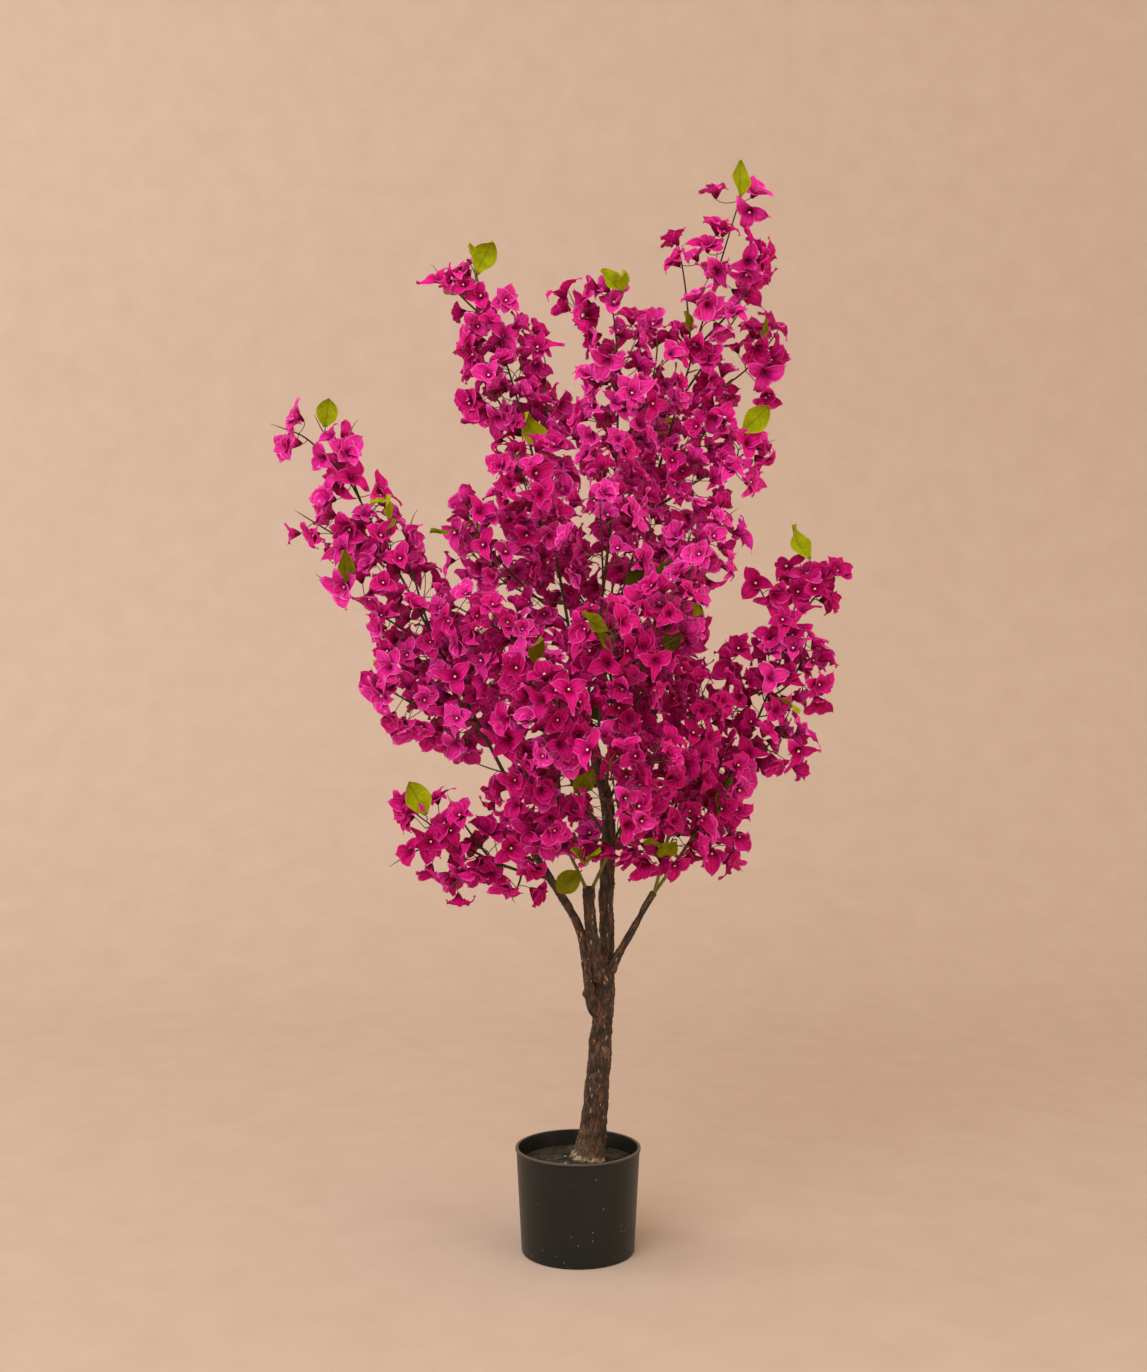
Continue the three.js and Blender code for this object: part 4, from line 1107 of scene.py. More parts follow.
def heart_with_bead():
    shape = bmesh.new()
    bmesh.ops.create_cone(shape, segments=4, radius1=TUBE_RADII[0], radius2=TUBE_RADII[1],
                          depth=HEART_LENGTH, cap_ends=False,
                          matrix=Matrix.Translation((0, 0, HEART_LENGTH / 2)))
    tube = arrays_of(shape)
    shape = bmesh.new()
    bmesh.ops.create_icosphere(shape, subdivisions=1, radius=BEAD_RADIUS,
                               matrix=Matrix.Translation((0, 0, HEART_LENGTH)))
    return tube, arrays_of(shape)


def heart_with_stamens():
    shape = bmesh.new()
    for i in range(STAMEN_COUNT):
        lean = Matrix.Rotation(2 * math.pi * i / STAMEN_COUNT, 4, "Z") @ Matrix.Rotation(STAMEN_LEAN, 4, "Y")
        bmesh.ops.create_cone(shape, segments=3, radius1=STAMEN_RADII[0], radius2=STAMEN_RADII[1],
                              depth=HEART_LENGTH, cap_ends=True,
                              matrix=lean @ Matrix.Translation((0, 0, HEART_LENGTH / 2)))
    return arrays_of(shape)


bead_tube, bead = heart_with_bead()
stamens = heart_with_stamens()


def make_plain_material(name, dark, light, patch_scale, grain_scale, roughness, bump_depth):
    """Moulded plastic or painted wire: two close colours in patches, with a fine relief."""
    material, tree, shader, place = start_material(name, specular=0.4)
    look = patchy(tree, place, dark, light, patch_scale, grain_scale, roughness)
    finish_material(tree, shader, look["Colour"], look["Roughness"], look["Height"], bump_depth)
    return material


heart_materials = [
    make_plain_material("heart_cream", (244, 226, 184), (254, 248, 230), 300, 2000, (0.35, 0.5), 0.0001),
    make_plain_material("heart_rust", (120, 30, 40), (176, 84, 48), 400, 2000, (0.5, 0.7), 0.0001),
]


# The leaves are printed cloth, pointed ovals about 42 mm long with a folded midrib, in lit and shaded copies
# of one green: lime green where the light reaches them, and olive and dark green painted as shade inside the
# crown. Each is glued on a short wire.
LEAF_LENGTH = 0.042
LEAF_WIDTH = 0.030
LEAF_CREASE = 0.07
LEAF_CELLS = (6, 9)
# angle at foot, middle and tip, cup, twist, how drawn out
LEAF_PRESSINGS = [(10, 2, -16, 0.2, 0.1, 0.85), (-6, 6, 20, 0.12, -0.3, 0.95), (14, 0, -38, 0.26, 0.25, 0.8)]
leaf_shapes = [blade(LEAF_CELLS, LEAF_LENGTH, LEAF_WIDTH, *pressing, crease=LEAF_CREASE)
               for pressing in LEAF_PRESSINGS]
LEAF_TINTS = {
    "leaf_lime_lit": ((132, 148, 2), (168, 182, 14), (188, 200, 52), (96, 112, 4)),
    "leaf_olive_shaded": ((92, 96, 4), (128, 128, 14), (148, 146, 36), (68, 72, 4)),
    "leaf_dark_shaded": ((56, 60, 6), (84, 86, 12), (100, 102, 26), (40, 44, 4)),
}
LEAF_THROAT = (120, 104, 40)
LIME_LIT_LEAF, OLIVE_SHADED_LEAF, DARK_SHADED_LEAF = 0, 1, 2
leaf_materials = [
    make_blade_material(name, dark, light, (belly, vein, light, LEAF_THROAT), throat_length=0.1, vein_count=9)
    for name, (dark, light, belly, vein) in LEAF_TINTS.items()]
# The leaves that the photograph shows: the pixels of foot and tip, the width in pixels, and the tint, which
# is the lit copy for a lit leaf and a shaded copy for one inside the crown.
LEAVES_SEEN_PX = [
    ((740, 197), (739, 160), 16, LIME_LIT_LEAF), ((476, 272), (493, 240), 28, LIME_LIT_LEAF),
    ((621, 290), (600, 270), 15, LIME_LIT_LEAF), ((624, 291), (621, 268), 14, LIME_LIT_LEAF),
    ((325, 427), (329, 398), 30, LIME_LIT_LEAF), ((545, 450), (522, 414), 24, LIME_LIT_LEAF),
    ((742, 432), (769, 406), 24, LIME_LIT_LEAF), ((810, 559), (789, 526), 19, LIME_LIT_LEAF),
    ((426, 815), (408, 782), 25, LIME_LIT_LEAF), ((391, 520), (384, 494), 9, LIME_LIT_LEAF),
    ((385, 499), (371, 505), 7, LIME_LIT_LEAF), ((389, 539), (391, 517), 9, OLIVE_SHADED_LEAF),
    ((346, 582), (342, 550), 15, OLIVE_SHADED_LEAF), ((648, 562), (632, 598), 30, DARK_SHADED_LEAF),
    ((676, 560), (660, 586), 18, DARK_SHADED_LEAF), ((608, 630), (579, 614), 17, OLIVE_SHADED_LEAF),
    ((613, 652), (592, 631), 9, OLIVE_SHADED_LEAF), ((535, 663), (538, 634), 17, OLIVE_SHADED_LEAF),
    ((672, 652), (668, 624), 18, DARK_SHADED_LEAF), ((773, 699), (803, 708), 9, LIME_LIT_LEAF),
    ((575, 793), (592, 769), 19, OLIVE_SHADED_LEAF), ((719, 816), (725, 776), 13, DARK_SHADED_LEAF),
    ((588, 862), (570, 850), 10, LIME_LIT_LEAF), ((588, 862), (598, 846), 9, LIME_LIT_LEAF),
    ((580, 872), (556, 892), 24, OLIVE_SHADED_LEAF), ((676, 842), (659, 860), 18, OLIVE_SHADED_LEAF),
    ((661, 844), (644, 845), 7, OLIVE_SHADED_LEAF), ((449, 531), (430, 534), 6, OLIVE_SHADED_LEAF),
    ((690, 332), (684, 311), 8, OLIVE_SHADED_LEAF), ((765, 341), (763, 318), 8, OLIVE_SHADED_LEAF),
]
LEAF_STANDOUT = 0.030
LEAF_NOD = 0.5
# Leaves inside the crown are dealt mostly the shaded copies.
LEAF_LOTS = (LIME_LIT_LEAF, OLIVE_SHADED_LEAF, OLIVE_SHADED_LEAF, DARK_SHADED_LEAF)
# The florets keep clear of the sight lines to these shares of a leaf's length, a little past the leaf.
LEAF_SIGHT_SHARES = (0.3, 0.75)
LEAF_SIGHT_RADIUS = 0.012
LEAF_SIGHT_REACH = 1.004
HIDDEN_DEPTH = 0.05
DEPTH_COUNTS = 0.12
# Where the photograph shows open sky at the crown's edge or through it, or the bare trunk and boughs
# inside it: a middle pixel and a radius.
SKY_SEEN_PX = [
    (427, 262, 9), (451, 250, 6), (441, 306, 11), (495, 272, 9), (272, 405, 10), (270, 425, 6),
    (309, 418, 8), (305, 452, 7), (344, 415, 11), (366, 438, 8), (348, 494, 9), (380, 480, 7),
    (325, 572, 9), (344, 614, 14), (365, 630, 9), (357, 680, 9), (372, 715, 13), (450, 514, 9),
    (440, 540, 8), (566, 350, 12), (562, 372, 9), (566, 392, 8), (608, 310, 10), (655, 290, 14),
    (640, 284, 8), (672, 312, 11), (690, 278, 9), (706, 206, 8), (733, 202, 9), (727, 180, 5),
    (712, 258, 7), (762, 230, 7), (785, 245, 7), (784, 285, 8), (757, 305, 8), (790, 330, 9),
    (740, 395, 9), (690, 372, 9), (709, 464, 3), (744, 472, 3), (735, 492, 9), (788, 470, 9), (590, 485, 9),
    (588, 520, 8), (606, 566, 9), (740, 560, 10), (745, 590, 8), (716, 604, 14), (712, 630, 11),
    (712, 650, 7), (752, 614, 12), (775, 548, 8), (846, 592, 9), (838, 690, 12), (815, 622, 8),
    (508, 596, 7), (468, 788, 12), (470, 812, 10), (450, 785, 8), (755, 790, 12), (752, 820, 9),
    (738, 868, 9), (500, 905, 12), (525, 899, 8), (402, 828, 7), (412, 862, 5), (608, 876, 9),
    (590, 868, 6), (607, 774, 3), (609, 788, 3), (609, 802, 3), (609, 816, 3), (610, 829, 3),
    (487, 735, 0), (494, 750, 1), (501, 766, 2), (512, 757, 3), (476, 766, 5), (311, 546, 6),
    (435, 527, 6), (742, 376, 5), (741, 340, 5), (687, 386, 5), (552, 335, 6), (320, 435, 5),
    (592, 534, 5), (702, 331, 4), (427, 541, 5),
]
FLORET_REACH_PX = 8


# Stems, twigs and the wires of the florets, all in one piece of three finishes: brown stem plastic,
# the green foot of each stem, and the thin olive wires.
STEM_RADIUS = 0.0021
SIDE_STEM_RADIUS = 0.0014
STEM_TIP_RADIUS = 0.0008
STEM_SIDES = 7
GREEN_FOOT = 0.075
GREEN_FOOT_TOP = 0.405
TWIG_RADIUS = 0.0009
TWIG_TAPER = 0.8
TWIG_SIDES = 4
WIRE_RADIUS = 0.00055
WIRE_SIDES = 3
WIRE_POINTS = 5
FORK_SHARE = 0.42
FLORETS_IN_BUNCH = 3
FLORET_TURN_PLAY = 0.7
FLORET_SPREAD = 0.50
SMALLEST_SPREAD = 0.8
SPREAD_PLAY = 0.4
FLORET_DEPTH = 0.45
FLORET_DEPTH_MIDDLE = 0.65
FLORET_FACING_OUT = 0.8
FLORET_SIZE_PLAY = 0.24
FLORET_SIZE = 0.90
BRACT_TURN_PLAY = 0.4
BRACT_TILT_PLAY = 0.3
SMALLEST_BRACT = 0.88
BRACT_SIZE_PLAY = 0.24
SINGLE_PITCH = 0.0042
SINGLE_SPACING = 0.0170
OPEN_SPACING = 0.032
SHORTEST_SINGLE = 0.35
SINGLE_PLAY = 0.75
SINGLE_FACING_PLAY = 1.2
THORN_LENGTH = 0.026
THORN_REST = 0.6
THORN_HOOK = 0.35
THORN_RADII = [0.0008, 0.0007, 0.0006, 0.0004, 0.0002]
FLORET_MARGIN = 0.008
DOUBLE_SHARE = 0.6
BEAD_SHARE = 0.6
INNER_RING_SIZE = 0.80
INNER_RING_RISE = 0.0030
# The dye lots that the florets of a spray are dealt from at random. Pale lots go to high sprays and deep
# ones to low sprays, which paints light on the top of the crown and shade low in it.
DYE_LOTS_BY_LIGHT = {"pale": (0, 0, 2, 2, 2, 0), "middle": (0, 0, 0, 1, 1, 2), "deep": (0, 0, 1, 1, 1, 2)}
PALE_LIT_HEIGHT = 0.85
DEEP_SHADED_HEIGHT = 0.62
BROWN, GREEN, OLIVE, RED = 0, 1, 2, 3
RED_WIRE_SHARE = 0.6

stem_materials = [
    make_plain_material(name, dark, light, patch_scale, grain_scale, roughness, bump_depth)
    for name, dark, light, patch_scale, grain_scale, roughness, bump_depth in (
        ("stem_brown", (44, 30, 22), (84, 62, 40), 160, 1200, (0.5, 0.75), 0.0003),
        ("stem_green", (84, 88, 24), (136, 132, 44), 120, 1200, (0.4, 0.6), 0.0002),
        ("wire_olive", (70, 62, 30), (122, 108, 56), 120, 1500, (0.45, 0.65), 0.0001),
        ("wire_red", (110, 12, 52), (150, 34, 62), 120, 1500, (0.45, 0.65), 0.0001))]
stems = Pile()
hearts = Pile()
leaves = Pile()


def add_arm_stem(arm, first):
    """The stem of one arm, green for a short way where it is pushed into a low, cut end."""
    path = arm["path"]
    radii = [mixed(STEM_RADIUS if first else SIDE_STEM_RADIUS, STEM_TIP_RADIUS, i / (len(path) - 1))
             for i in range(len(path))]
    green = 0
    if first and path[0].z < GREEN_FOOT_TOP:
        green = max(2, round(GREEN_FOOT / arm["length"] * (len(path) - 1)))
        add_tube(stems, path[:green + 1], radii[:green + 1], STEM_SIDES, GREEN)
    add_tube(stems, path[green:], radii[green:], STEM_SIDES, BROWN)
    forward = (path[-1] - path[-2]).normalized()
    side = square_to(path[-1] - path[-2])
    tip = path[-1] + forward * THORN_LENGTH + side * THORN_LENGTH * THORN_HOOK
    bend = path[-1] + forward * THORN_LENGTH * THORN_REST
    add_tube(stems, curve_points(path[-1], bend, tip, len(THORN_RADII)), THORN_RADII, TWIG_SIDES, OLIVE)


def add_floret(bracts, place, facing, spin, size, tint, draw):
    """Three bracts round their heart, with the heart's foot at a place, and three smaller in a double one."""
    side = square_to(facing)
    other = facing.cross(side)
    pressing = int(next(draw) * len(bract_shapes))
    rings = [(spin, size, 0)]
    if next(draw) < DOUBLE_SHARE:
        rings.append((spin + math.pi / 3, size * INNER_RING_SIZE, INNER_RING_RISE))
    for ring_spin, ring_size, rise in rings:
        for i in range(3):
            angle = ring_spin + 2 * math.pi * i / 3 + BRACT_TURN_PLAY * (next(draw) - 0.5)
            outward = direction_round(side, other, angle)
            tilt = facing + outward * BRACT_TILT_PLAY * (next(draw) - 0.5)
            choice = bract_shapes[(pressing + i * 2) % len(bract_shapes)]
            add_shape(bracts, choice, place + facing * rise, outward, tilt,
                      ring_size * (SMALLEST_BRACT + BRACT_SIZE_PLAY * next(draw)), tint)
    if next(draw) < BEAD_SHARE:
        add_shape(hearts, bead_tube, place, side, facing, size, 1)
        add_shape(hearts, bead, place, side, facing, size, 0)
    else:
        add_shape(hearts, stamens, place, side, facing, size, 1)


def add_wire(start, forward, place, facing, radius, look=OLIVE):
    """The thin wire of a floret or leaf, leaving its twig forwards and coming in along its axis."""
    gap = (place - start).length
    middle = (start + forward * gap * 0.5).lerp(place - facing * gap * 0.5, 0.5)
    path = curve_points(start, middle, place, WIRE_POINTS)
    add_tube(stems, path, [radius] * WIRE_POINTS, WIRE_SIDES, look)


def drawn_looks(full_size, dyes, draw):
    """The size, the tint and the spin of a floret."""
    size = full_size + FLORET_SIZE_PLAY * (next(draw) - 0.5)
    tint = DYE_LOTS_BY_LIGHT[dyes][int(next(draw) * len(DYE_LOTS_BY_LIGHT[dyes]))]
    return size, tint, 2 * math.pi * next(draw)


def add_bunch(bracts, twig, taken, draw):
    """Three florets that share out the place of one bunch of the solid."""
    fork = twig["foot"].lerp(twig["end"], FORK_SHARE)
    kept_before = len(taken)
    side = square_to(twig["facing"])
    other = twig["facing"].cross(side)
    for i in range(FLORETS_IN_BUNCH):
        angle = twig["spin"] + 2 * math.pi * i / FLORETS_IN_BUNCH + FLORET_TURN_PLAY * (next(draw) - 0.5)
        outward = direction_round(side, other, angle)
        spread = twig["radius"] * FLORET_SPREAD * (SMALLEST_SPREAD + SPREAD_PLAY * next(draw))
        depth = twig["radius"] * FLORET_DEPTH * (next(draw) - FLORET_DEPTH_MIDDLE)
        place = twig["end"] + outward * spread + twig["facing"] * depth
        facing = (twig["facing"] + outward * FLORET_FACING_OUT + played(draw) * FACING_PLAY).normalized()
        size, tint, spin = drawn_looks(FLORET_SIZE, twig["dyes"], draw)
        if clear_of_limbs(place, FLORET_MARGIN) and may_stand(place):
            taken.append(place)
            add_wire(fork, twig["forward"], place, facing, WIRE_RADIUS)
            add_floret(bracts, place, facing, spin, size, tint, draw)
    if len(taken) > kept_before:
        add_tube(stems, [twig["foot"], fork], [TWIG_RADIUS, TWIG_RADIUS * TWIG_TAPER], TWIG_SIDES, OLIVE)


def add_singles(bracts, spray, taken, draw):
    """Finer twigs between the bunches, each with one floret, by the same rule and within its reach."""
    count = 0
    for arm in spray["arms"]:
        number = round(arm["length"] * (1 - arm["bare"]) / SINGLE_PITCH)
        spacing = OPEN_SPACING if arm["open"] else SINGLE_SPACING
        for i in range(number):
            count += 1
            t = mixed(arm["bare"], 1, i / number)
            angle = mixed(TWIG_ANGLE_FOOT, TWIG_ANGLE_TIP, t)
            foot, forward, outward = twig_start(arm, t, angle, count, draw)
            place = foot + forward * mixed(*arm["reach"], t) * (SHORTEST_SINGLE + SINGLE_PLAY * next(draw))
            facing = (forward + outward * FACING_OUT + played(draw) * SINGLE_FACING_PLAY).normalized()
            size, tint, spin = drawn_looks(FLORET_SIZE, spray["dyes"], draw)
            crowded = any((other - place).length < spacing for other in taken)
            if (not crowded and may_stand(place) and in_own_space(place, spray)
                    and clear_of_limbs(place, FLORET_MARGIN)):
                taken.append(place)
                wire_look = RED if next(draw) < RED_WIRE_SHARE else OLIVE
                add_wire(foot, forward, place, facing, WIRE_RADIUS, wire_look)
                add_floret(bracts, place, facing, spin, size, tint, draw)


def add_leaf(twig, draw):
    """A leaf on its short wire. The front's leaves are the ones that the photograph shows."""
    shape = leaf_shapes[int(next(draw) * len(leaf_shapes))]
    # A leaf at an arm's tip gets the lit copy.
    look = LEAF_LOTS[0 if twig["tip"] else int(next(draw) * len(LEAF_LOTS))]
    middle = twig["end"] + twig["forward"] * LEAF_LENGTH / 2
    if twig["end"].y > HIDDEN_DEPTH and not against_sky(middle):
        add_tube(stems, [twig["foot"], twig["end"]], [TWIG_RADIUS, WIRE_RADIUS], TWIG_SIDES, OLIVE)
        add_shape(leaves, shape, twig["end"], twig["forward"], twig["facing"], 1, look)


def on_sight_line(pixel, depth):
    """The point that the camera sees at a pixel of the photograph, at a depth along Y."""
    return EYE + sight_direction(pixel) * (depth - EYE.y)


def carrier_of(pixel):
    """The spray and the point of its arms nearest to a pixel, a nearer one first where several cross."""
    def apart(carrier):
        return (carrier[1] - on_sight_line(pixel, carrier[1].y)).length + DEPTH_COUNTS * carrier[1].y

    return min(((name, point) for name, spray in sprays.items() for arm in spray["arms"]
                for point in arm["path"]), key=apart)


seen_leaves = []


def add_seen_leaves():
    """Hangs each leaf of the photograph in front of the arm that carries it."""
    for number, (foot_px, tip_px, width_px, look) in enumerate(LEAVES_SEEN_PX):
        _, carrier = carrier_of(foot_px)
        foot = on_sight_line(foot_px, carrier.y - LEAF_STANDOUT)
        tip = on_sight_line(tip_px, foot.y)
        nod = LEAF_NOD * math.sqrt(max(0, LEAF_LENGTH ** 2 - (tip - foot).length ** 2))
        tip = on_sight_line(tip_px, foot.y - nod)
        size = (tip - foot).length / LEAF_LENGTH
        shown = width_px / FOCAL_LENGTH_PX * (foot.y - EYE.y) / (LEAF_WIDTH * size)
        roll = Matrix.Rotation(math.acos(min(1, shown)), 3, (tip - foot).normalized())
        facing = roll @ (EYE - foot).normalized()
        forward = (foot - carrier).normalized()
        add_wire(carrier, forward, foot, (tip - foot).normalized(), TWIG_RADIUS * TWIG_TAPER)
        add_shape(leaves, leaf_shapes[number % 2], foot, tip - foot, facing, size, look)
        seen_leaves.extend(foot.lerp(tip, share) for share in LEAF_SIGHT_SHARES)


# The florets that stand out at the crown's edge and in its open tops: the pixel of each one's foot, then
# that of its mouth.
FLORETS_SEEN_PX = [
    (716, 199, 715, 184), (751, 198, 758, 188), (750, 209, 749, 216), (717, 236, 718, 224),
    (708, 253, 707, 241), (698, 262, 692, 250), (680, 267, 672, 256), (714, 268, 721, 275),
    (748, 250, 760, 241), (747, 260, 749, 264), (755, 258, 768, 262), (753, 272, 763, 286),
    (750, 268, 744, 280), (700, 306, 693, 294), (706, 302, 708, 308), (733, 318, 732, 308),
    (715, 322, 722, 336), (683, 338, 686, 325), (700, 342, 694, 353), (752, 338, 755, 325),
    (765, 330, 776, 318), (757, 345, 759, 355), (766, 357, 780, 352), (764, 370, 765, 378),
    (763, 392, 768, 403), (722, 378, 727, 364), (710, 362, 706, 356), (712, 380, 706, 388),
    (728, 392, 727, 403), (748, 446, 764, 438), (755, 455, 764, 468), (716, 412, 710, 422),
    (722, 424, 726, 414), (304, 421, 292, 415), (302, 444, 289, 441), (327, 457, 319, 459),
    (345, 455, 349, 449), (345, 478, 335, 487), (350, 482, 354, 475), (372, 494, 384, 487),
    (332, 517, 318, 512), (352, 524, 348, 533), (366, 520, 364, 509), (408, 540, 408, 524),
    (350, 585, 341, 588), (372, 590, 368, 604), (387, 628, 375, 628), (392, 650, 384, 652),
    (395, 668, 386, 668), (388, 692, 378, 698), (395, 712, 390, 722), (408, 722, 408, 734),
    (432, 730, 431, 740), (452, 738, 450, 750), (466, 744, 470, 757), (457, 282, 448, 275),
    (465, 280, 460, 268), (484, 298, 479, 294), (505, 302, 507, 299), (512, 328, 524, 320),
    (478, 345, 467, 338), (480, 352, 468, 356), (478, 325, 478, 328), (535, 352, 539, 344),
    (535, 362, 537, 370), (545, 400, 558, 398), (482, 400, 470, 392), (475, 402, 466, 404),
    (485, 408, 482, 422), (600, 292, 587, 286), (592, 305, 578, 302), (610, 292, 599, 283),
    (596, 320, 580, 328), (602, 334, 587, 341), (616, 308, 613, 298), (585, 382, 588, 370),
    (600, 385, 584, 388), (588, 420, 574, 415), (632, 325, 632, 312), (655, 330, 652, 321),
    (755, 585, 756, 582), (771, 590, 777, 598), (790, 572, 784, 562), (798, 590, 798, 593),
    (808, 580, 806, 569), (822, 580, 820, 573), (833, 575, 840, 568), (822, 602, 834, 602),
    (780, 622, 784, 618), (770, 640, 771, 634), (793, 642, 792, 631), (812, 650, 820, 638),
    (818, 662, 830, 653), (816, 680, 822, 688), (740, 652, 737, 645), (738, 668, 726, 668),
    (815, 696, 819, 706), (795, 735, 807, 726), (796, 745, 800, 755), (772, 755, 775, 768),
    (738, 770, 748, 776), (734, 785, 742, 793), (735, 805, 738, 813), (738, 832, 741, 840),
    (712, 848, 712, 857), (722, 858, 735, 864), (690, 848, 690, 862), (646, 856, 645, 868),
    (412, 804, 403, 805), (432, 840, 430, 843), (414, 854, 406, 850), (462, 820, 457, 810),
    (450, 827, 441, 821), (463, 845, 454, 852), (475, 865, 470, 878), (484, 838, 488, 826),
    (492, 868, 491, 878), (510, 845, 512, 851), (509, 882, 506, 894), (530, 888, 540, 897),
    (566, 842, 562, 858), (584, 838, 590, 850), (604, 842, 608, 856), (624, 846, 630, 858),
    (638, 858, 644, 872), (545, 838, 546, 850), (336, 500, 325, 497), (592, 838, 588, 829),
    (632, 774, 621, 779), (598, 407, 587, 404), (556, 404, 566, 407), (522, 660, 513, 655),
    (532, 606, 525, 599), (442, 284, 436, 275), (735, 474, 733, 464), (510, 722, 501, 718),
    (500, 338, 508, 333), (744, 482, 756, 482), (512, 738, 504, 744), (292, 448, 283, 446),
]
FLORET_AXIS = 0.016
FLORET_STANDOUT = 0.012
SEEN_FLORET_SIZE = 1.06
FLORET_CLEARANCE_PX = 12
seen_florets = {name: [] for name in sprays}


def place_seen_florets():
    """Gives each floret that the photograph shows to the spray whose arm carries it."""
    for *foot_px, mouth_x, mouth_y in FLORETS_SEEN_PX:
        name, carrier = carrier_of(foot_px)
        foot = on_sight_line(foot_px, carrier.y - FLORET_STANDOUT)
        axis = on_sight_line((mouth_x, mouth_y), foot.y) - foot
        depth = math.sqrt(max(0, FLORET_AXIS ** 2 - axis.length_squared))
        facing = (axis + depth * (EYE - foot).normalized()).normalized()
        seen_florets[name].append((carrier, foot, facing))


def add_seen_florets(bracts, name, taken, draw):
    for carrier, foot, facing in seen_florets[name]:
        size, tint, spin = drawn_looks(SEEN_FLORET_SIZE, sprays[name]["dyes"], draw)
        add_wire(carrier, (foot - carrier).normalized(), foot, facing, WIRE_RADIUS)
        add_floret(bracts, foot, facing, spin, size, tint, draw)
        taken.append(foot)


def apart_px(place, pixel):
    """How many pixels of the photograph lie between a place and a pixel."""
    return (place - on_sight_line(pixel, place.y)).length * FOCAL_LENGTH_PX / (place.y - EYE.y)


def hides_leaf(place):
    """Whether a floret at a place would stand between the camera and a leaf."""
    for leaf in seen_leaves:
        sight = leaf - EYE
        share = (place - EYE).dot(sight) / sight.length_squared
        if share < LEAF_SIGHT_REACH and (EYE + sight * share - place).length < LEAF_SIGHT_RADIUS:
            return True
    return False


def against_sky(place):
    """Whether a floret at a place would fill a gap in which the photograph shows the wall."""
    return any(apart_px(place, middle) < radius + FLORET_REACH_PX for *middle, radius in SKY_SEEN_PX)


def crowds_seen_floret(place):
    """Whether a floret at a place would show right beside or behind one that the photograph shows."""
    return any(apart_px(place, seen[2:]) < FLORET_CLEARANCE_PX for seen in FLORETS_SEEN_PX)


def may_stand(place):
    """Whether a floret that the rule puts at a place is kept there."""
    return not (hides_leaf(place) or against_sky(place) or crowds_seen_floret(place))


BRACT_PIECES = {
    "bracts_left": ["spray_far_left", "spray_low_left", "spray_front_left"],
    "bracts_upper_left": ["spray_upper_left"],
    "bracts_top": ["spray_top_centre", "spray_top_right"],
    "bracts_right": ["spray_right_far", "spray_right_inner", "spray_front_right"],
    "bracts_middle": ["spray_front_mid"],
    "bracts_back": ["spray_back_left", "spray_back_right", "spray_back_top", "spray_back_low"],
}


def make_sprays():
    add_seen_leaves()
    place_seen_florets()
    for piece_name, members in BRACT_PIECES.items():
        bracts = Pile()
        for name in members:
            spray = sprays[name]
            draw = seeded_random(spray["seed"] + 1)
            height = spray["arms"][0]["path"][-1].z
            # Painted light and shade: a spray's dye lots follow its height.
            spray["dyes"] = "pale" if height > PALE_LIT_HEIGHT else "deep" if height < DEEP_SHADED_HEIGHT else "middle"
            for index, arm in enumerate(spray["arms"]):
                add_arm_stem(arm, index == 0)
            taken = []
            add_seen_florets(bracts, name, taken, draw)
            for twig in grow_twigs(spray):
                twig["dyes"] = spray["dyes"]
                if twig["leaf"]:
                    add_leaf(twig, draw)
                else:
                    add_bunch(bracts, twig, taken, draw)
            add_singles(bracts, spray, taken, draw)
        finish_piece(piece_name, bracts.mesh(piece_name), bract_materials, members)
    for name, pile, materials in (("stems", stems, stem_materials), ("hearts", hearts, heart_materials),
                                  ("leaves", leaves, leaf_materials)):
        finish_piece(name, pile.mesh(name), materials, [])


make_sprays()


# The studio: a pale floor that sweeps up into a wall far behind and, far from the tree, turns into an unlit
# glow in the surround's colour; a large soft light from the upper left in front and a weaker one from the
# right.
SWEEP_BACK = 2.6
SWEEP_RADIUS = 1.5
SWEEP_HALF_WIDTH = 9
SWEEP_FRONT = -9
SWEEP_TOP = 6
SWEEP_ARC_STEPS = 12
BACKDROP = colour(199, 186, 178)
BACKDROP_CLOUDS = colour(193, 179, 170)
SURROUND = colour(236, 204, 172)
SURROUND_STRENGTH = 1.02
FADE_START = 3.0
FADE_END = 4.6


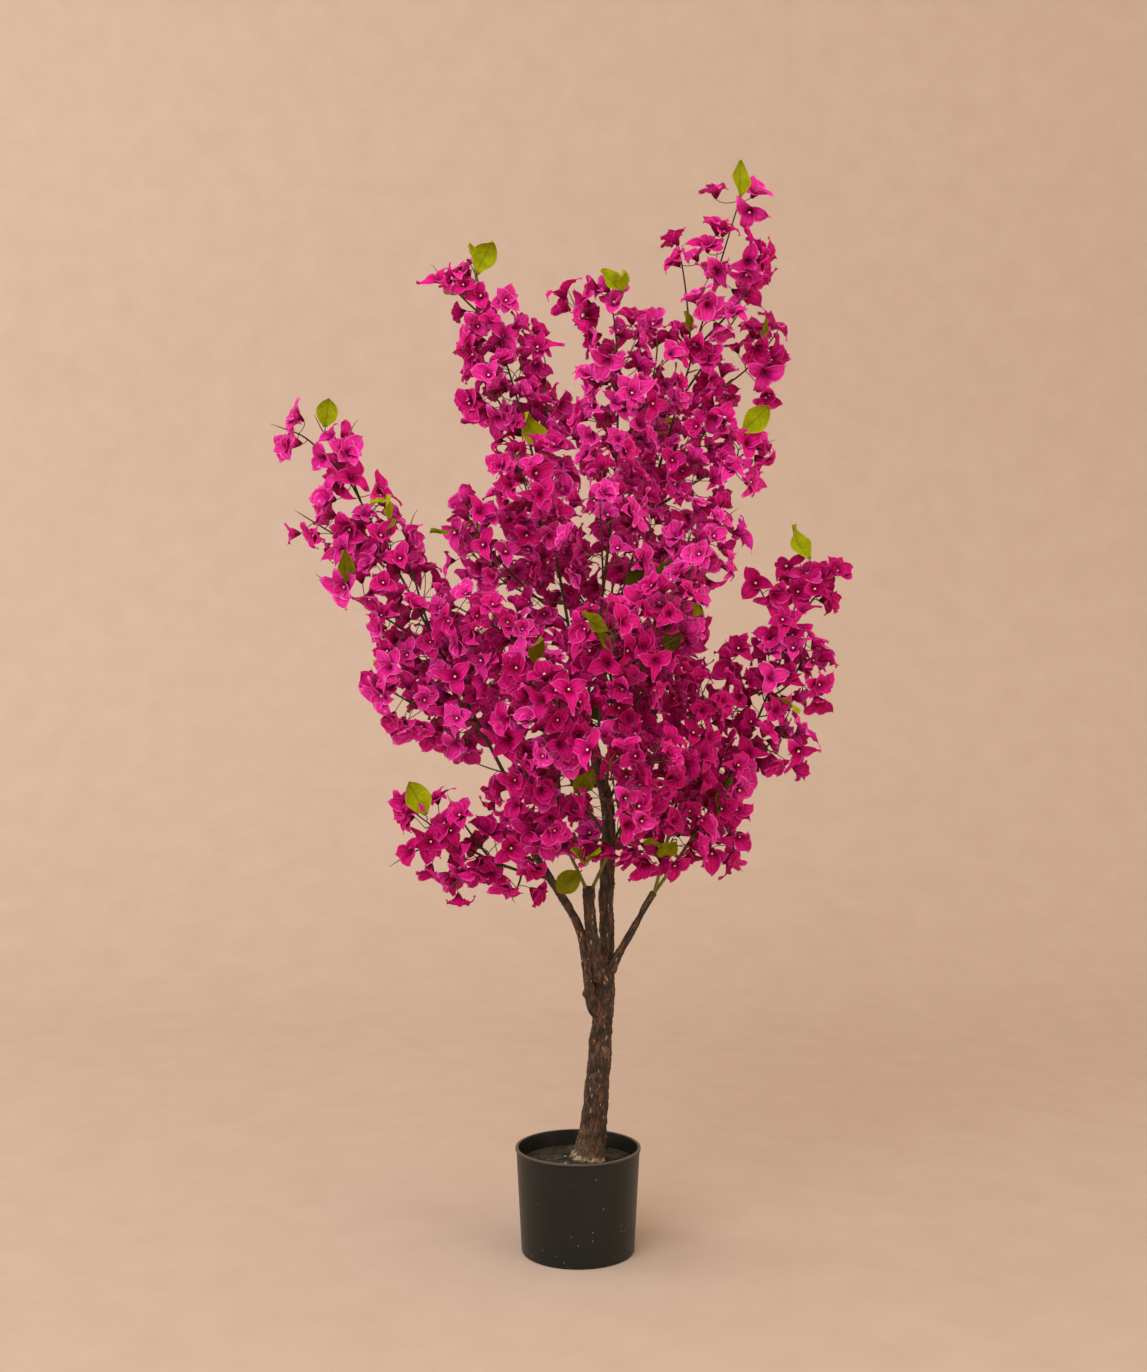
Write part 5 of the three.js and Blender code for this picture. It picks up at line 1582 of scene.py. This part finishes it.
def make_sweep():
    shape = bmesh.new()
    line = [shape.verts.new((-SWEEP_HALF_WIDTH, SWEEP_FRONT, 0))]
    for i in range(SWEEP_ARC_STEPS + 1):
        angle = math.radians(90 * i / SWEEP_ARC_STEPS)
        line.append(shape.verts.new((-SWEEP_HALF_WIDTH, SWEEP_BACK - SWEEP_RADIUS * (1 - math.sin(angle)),
                                     SWEEP_RADIUS * (1 - math.cos(angle)))))
    line.append(shape.verts.new((-SWEEP_HALF_WIDTH, SWEEP_BACK, SWEEP_TOP)))
    edges = [shape.edges.new(pair) for pair in zip(line, line[1:])]
    made = bmesh.ops.extrude_edge_only(shape, edges=edges)["geom"]
    bmesh.ops.translate(shape, vec=(2 * SWEEP_HALF_WIDTH, 0, 0),
                        verts=[item for item in made if isinstance(item, bmesh.types.BMVert)])
    bmesh.ops.recalc_face_normals(shape, faces=shape.faces)
    material, tree, shader, place = start_material("studio_paper", specular=0.0)
    clouds = ramped(tree, noise_at(tree, place, 13.0, 8.0, 0.66), 0.3, 0.7)
    tone = painted(tree, clouds, BACKDROP, BACKDROP_CLOUDS)
    # Painted glow: far from the tree the paper turns black and glows in the surround's colour, unlit.
    glow_share = ramped(tree, out_from_axis(tree, place), FADE_START, FADE_END, interpolation_type="SMOOTHSTEP")
    black = colour(0, 0, 0)
    tree.links.new(painted(tree, glow_share, tone, black), shader.inputs["Base Color"])
    tree.links.new(painted(tree, glow_share, black, SURROUND), shader.inputs["Emission Color"])
    shader.inputs["Emission Strength"].default_value = SURROUND_STRENGTH
    shader.inputs["Roughness"].default_value = 0.9
    mesh = mesh_from(shape, "sweep")
    mesh.materials.append(material)
    sweep = add_object("sweep", mesh)


def add_soft_light(name, place, target, size, power, tint):
    data = bpy.data.lights.new(name, "AREA")
    data.size = size
    data.energy = power
    data.color = tint
    light = add_object(name, data)
    light.location = place
    light.rotation_euler = (Vector(target) - Vector(place)).to_track_quat("-Z", "Y").to_euler()


make_sweep()
add_soft_light("key_light", (-1.6, -2.7, 2.8), (0, 0, 0.6), 2.8, 79, (1, 0.995, 0.98))
add_soft_light("fill_light", (2.6, -2.2, 1.6), (0, 0, 0.6), 2.2, 28, (1, 0.83, 0.62))
add_soft_light("wall_light", (-2.6, 0.2, 2.2), (-0.4, 2.6, 1.0), 1.6, 22, (1, 0.98, 0.95))
surround = bpy.data.worlds.new("surround")
surround.use_nodes = True
background = surround.node_tree.nodes["Background"]
background.inputs["Color"].default_value = SURROUND
background.inputs["Strength"].default_value = SURROUND_STRENGTH
bpy.context.scene.world = surround
bpy.context.scene.view_settings.view_transform = "Standard"
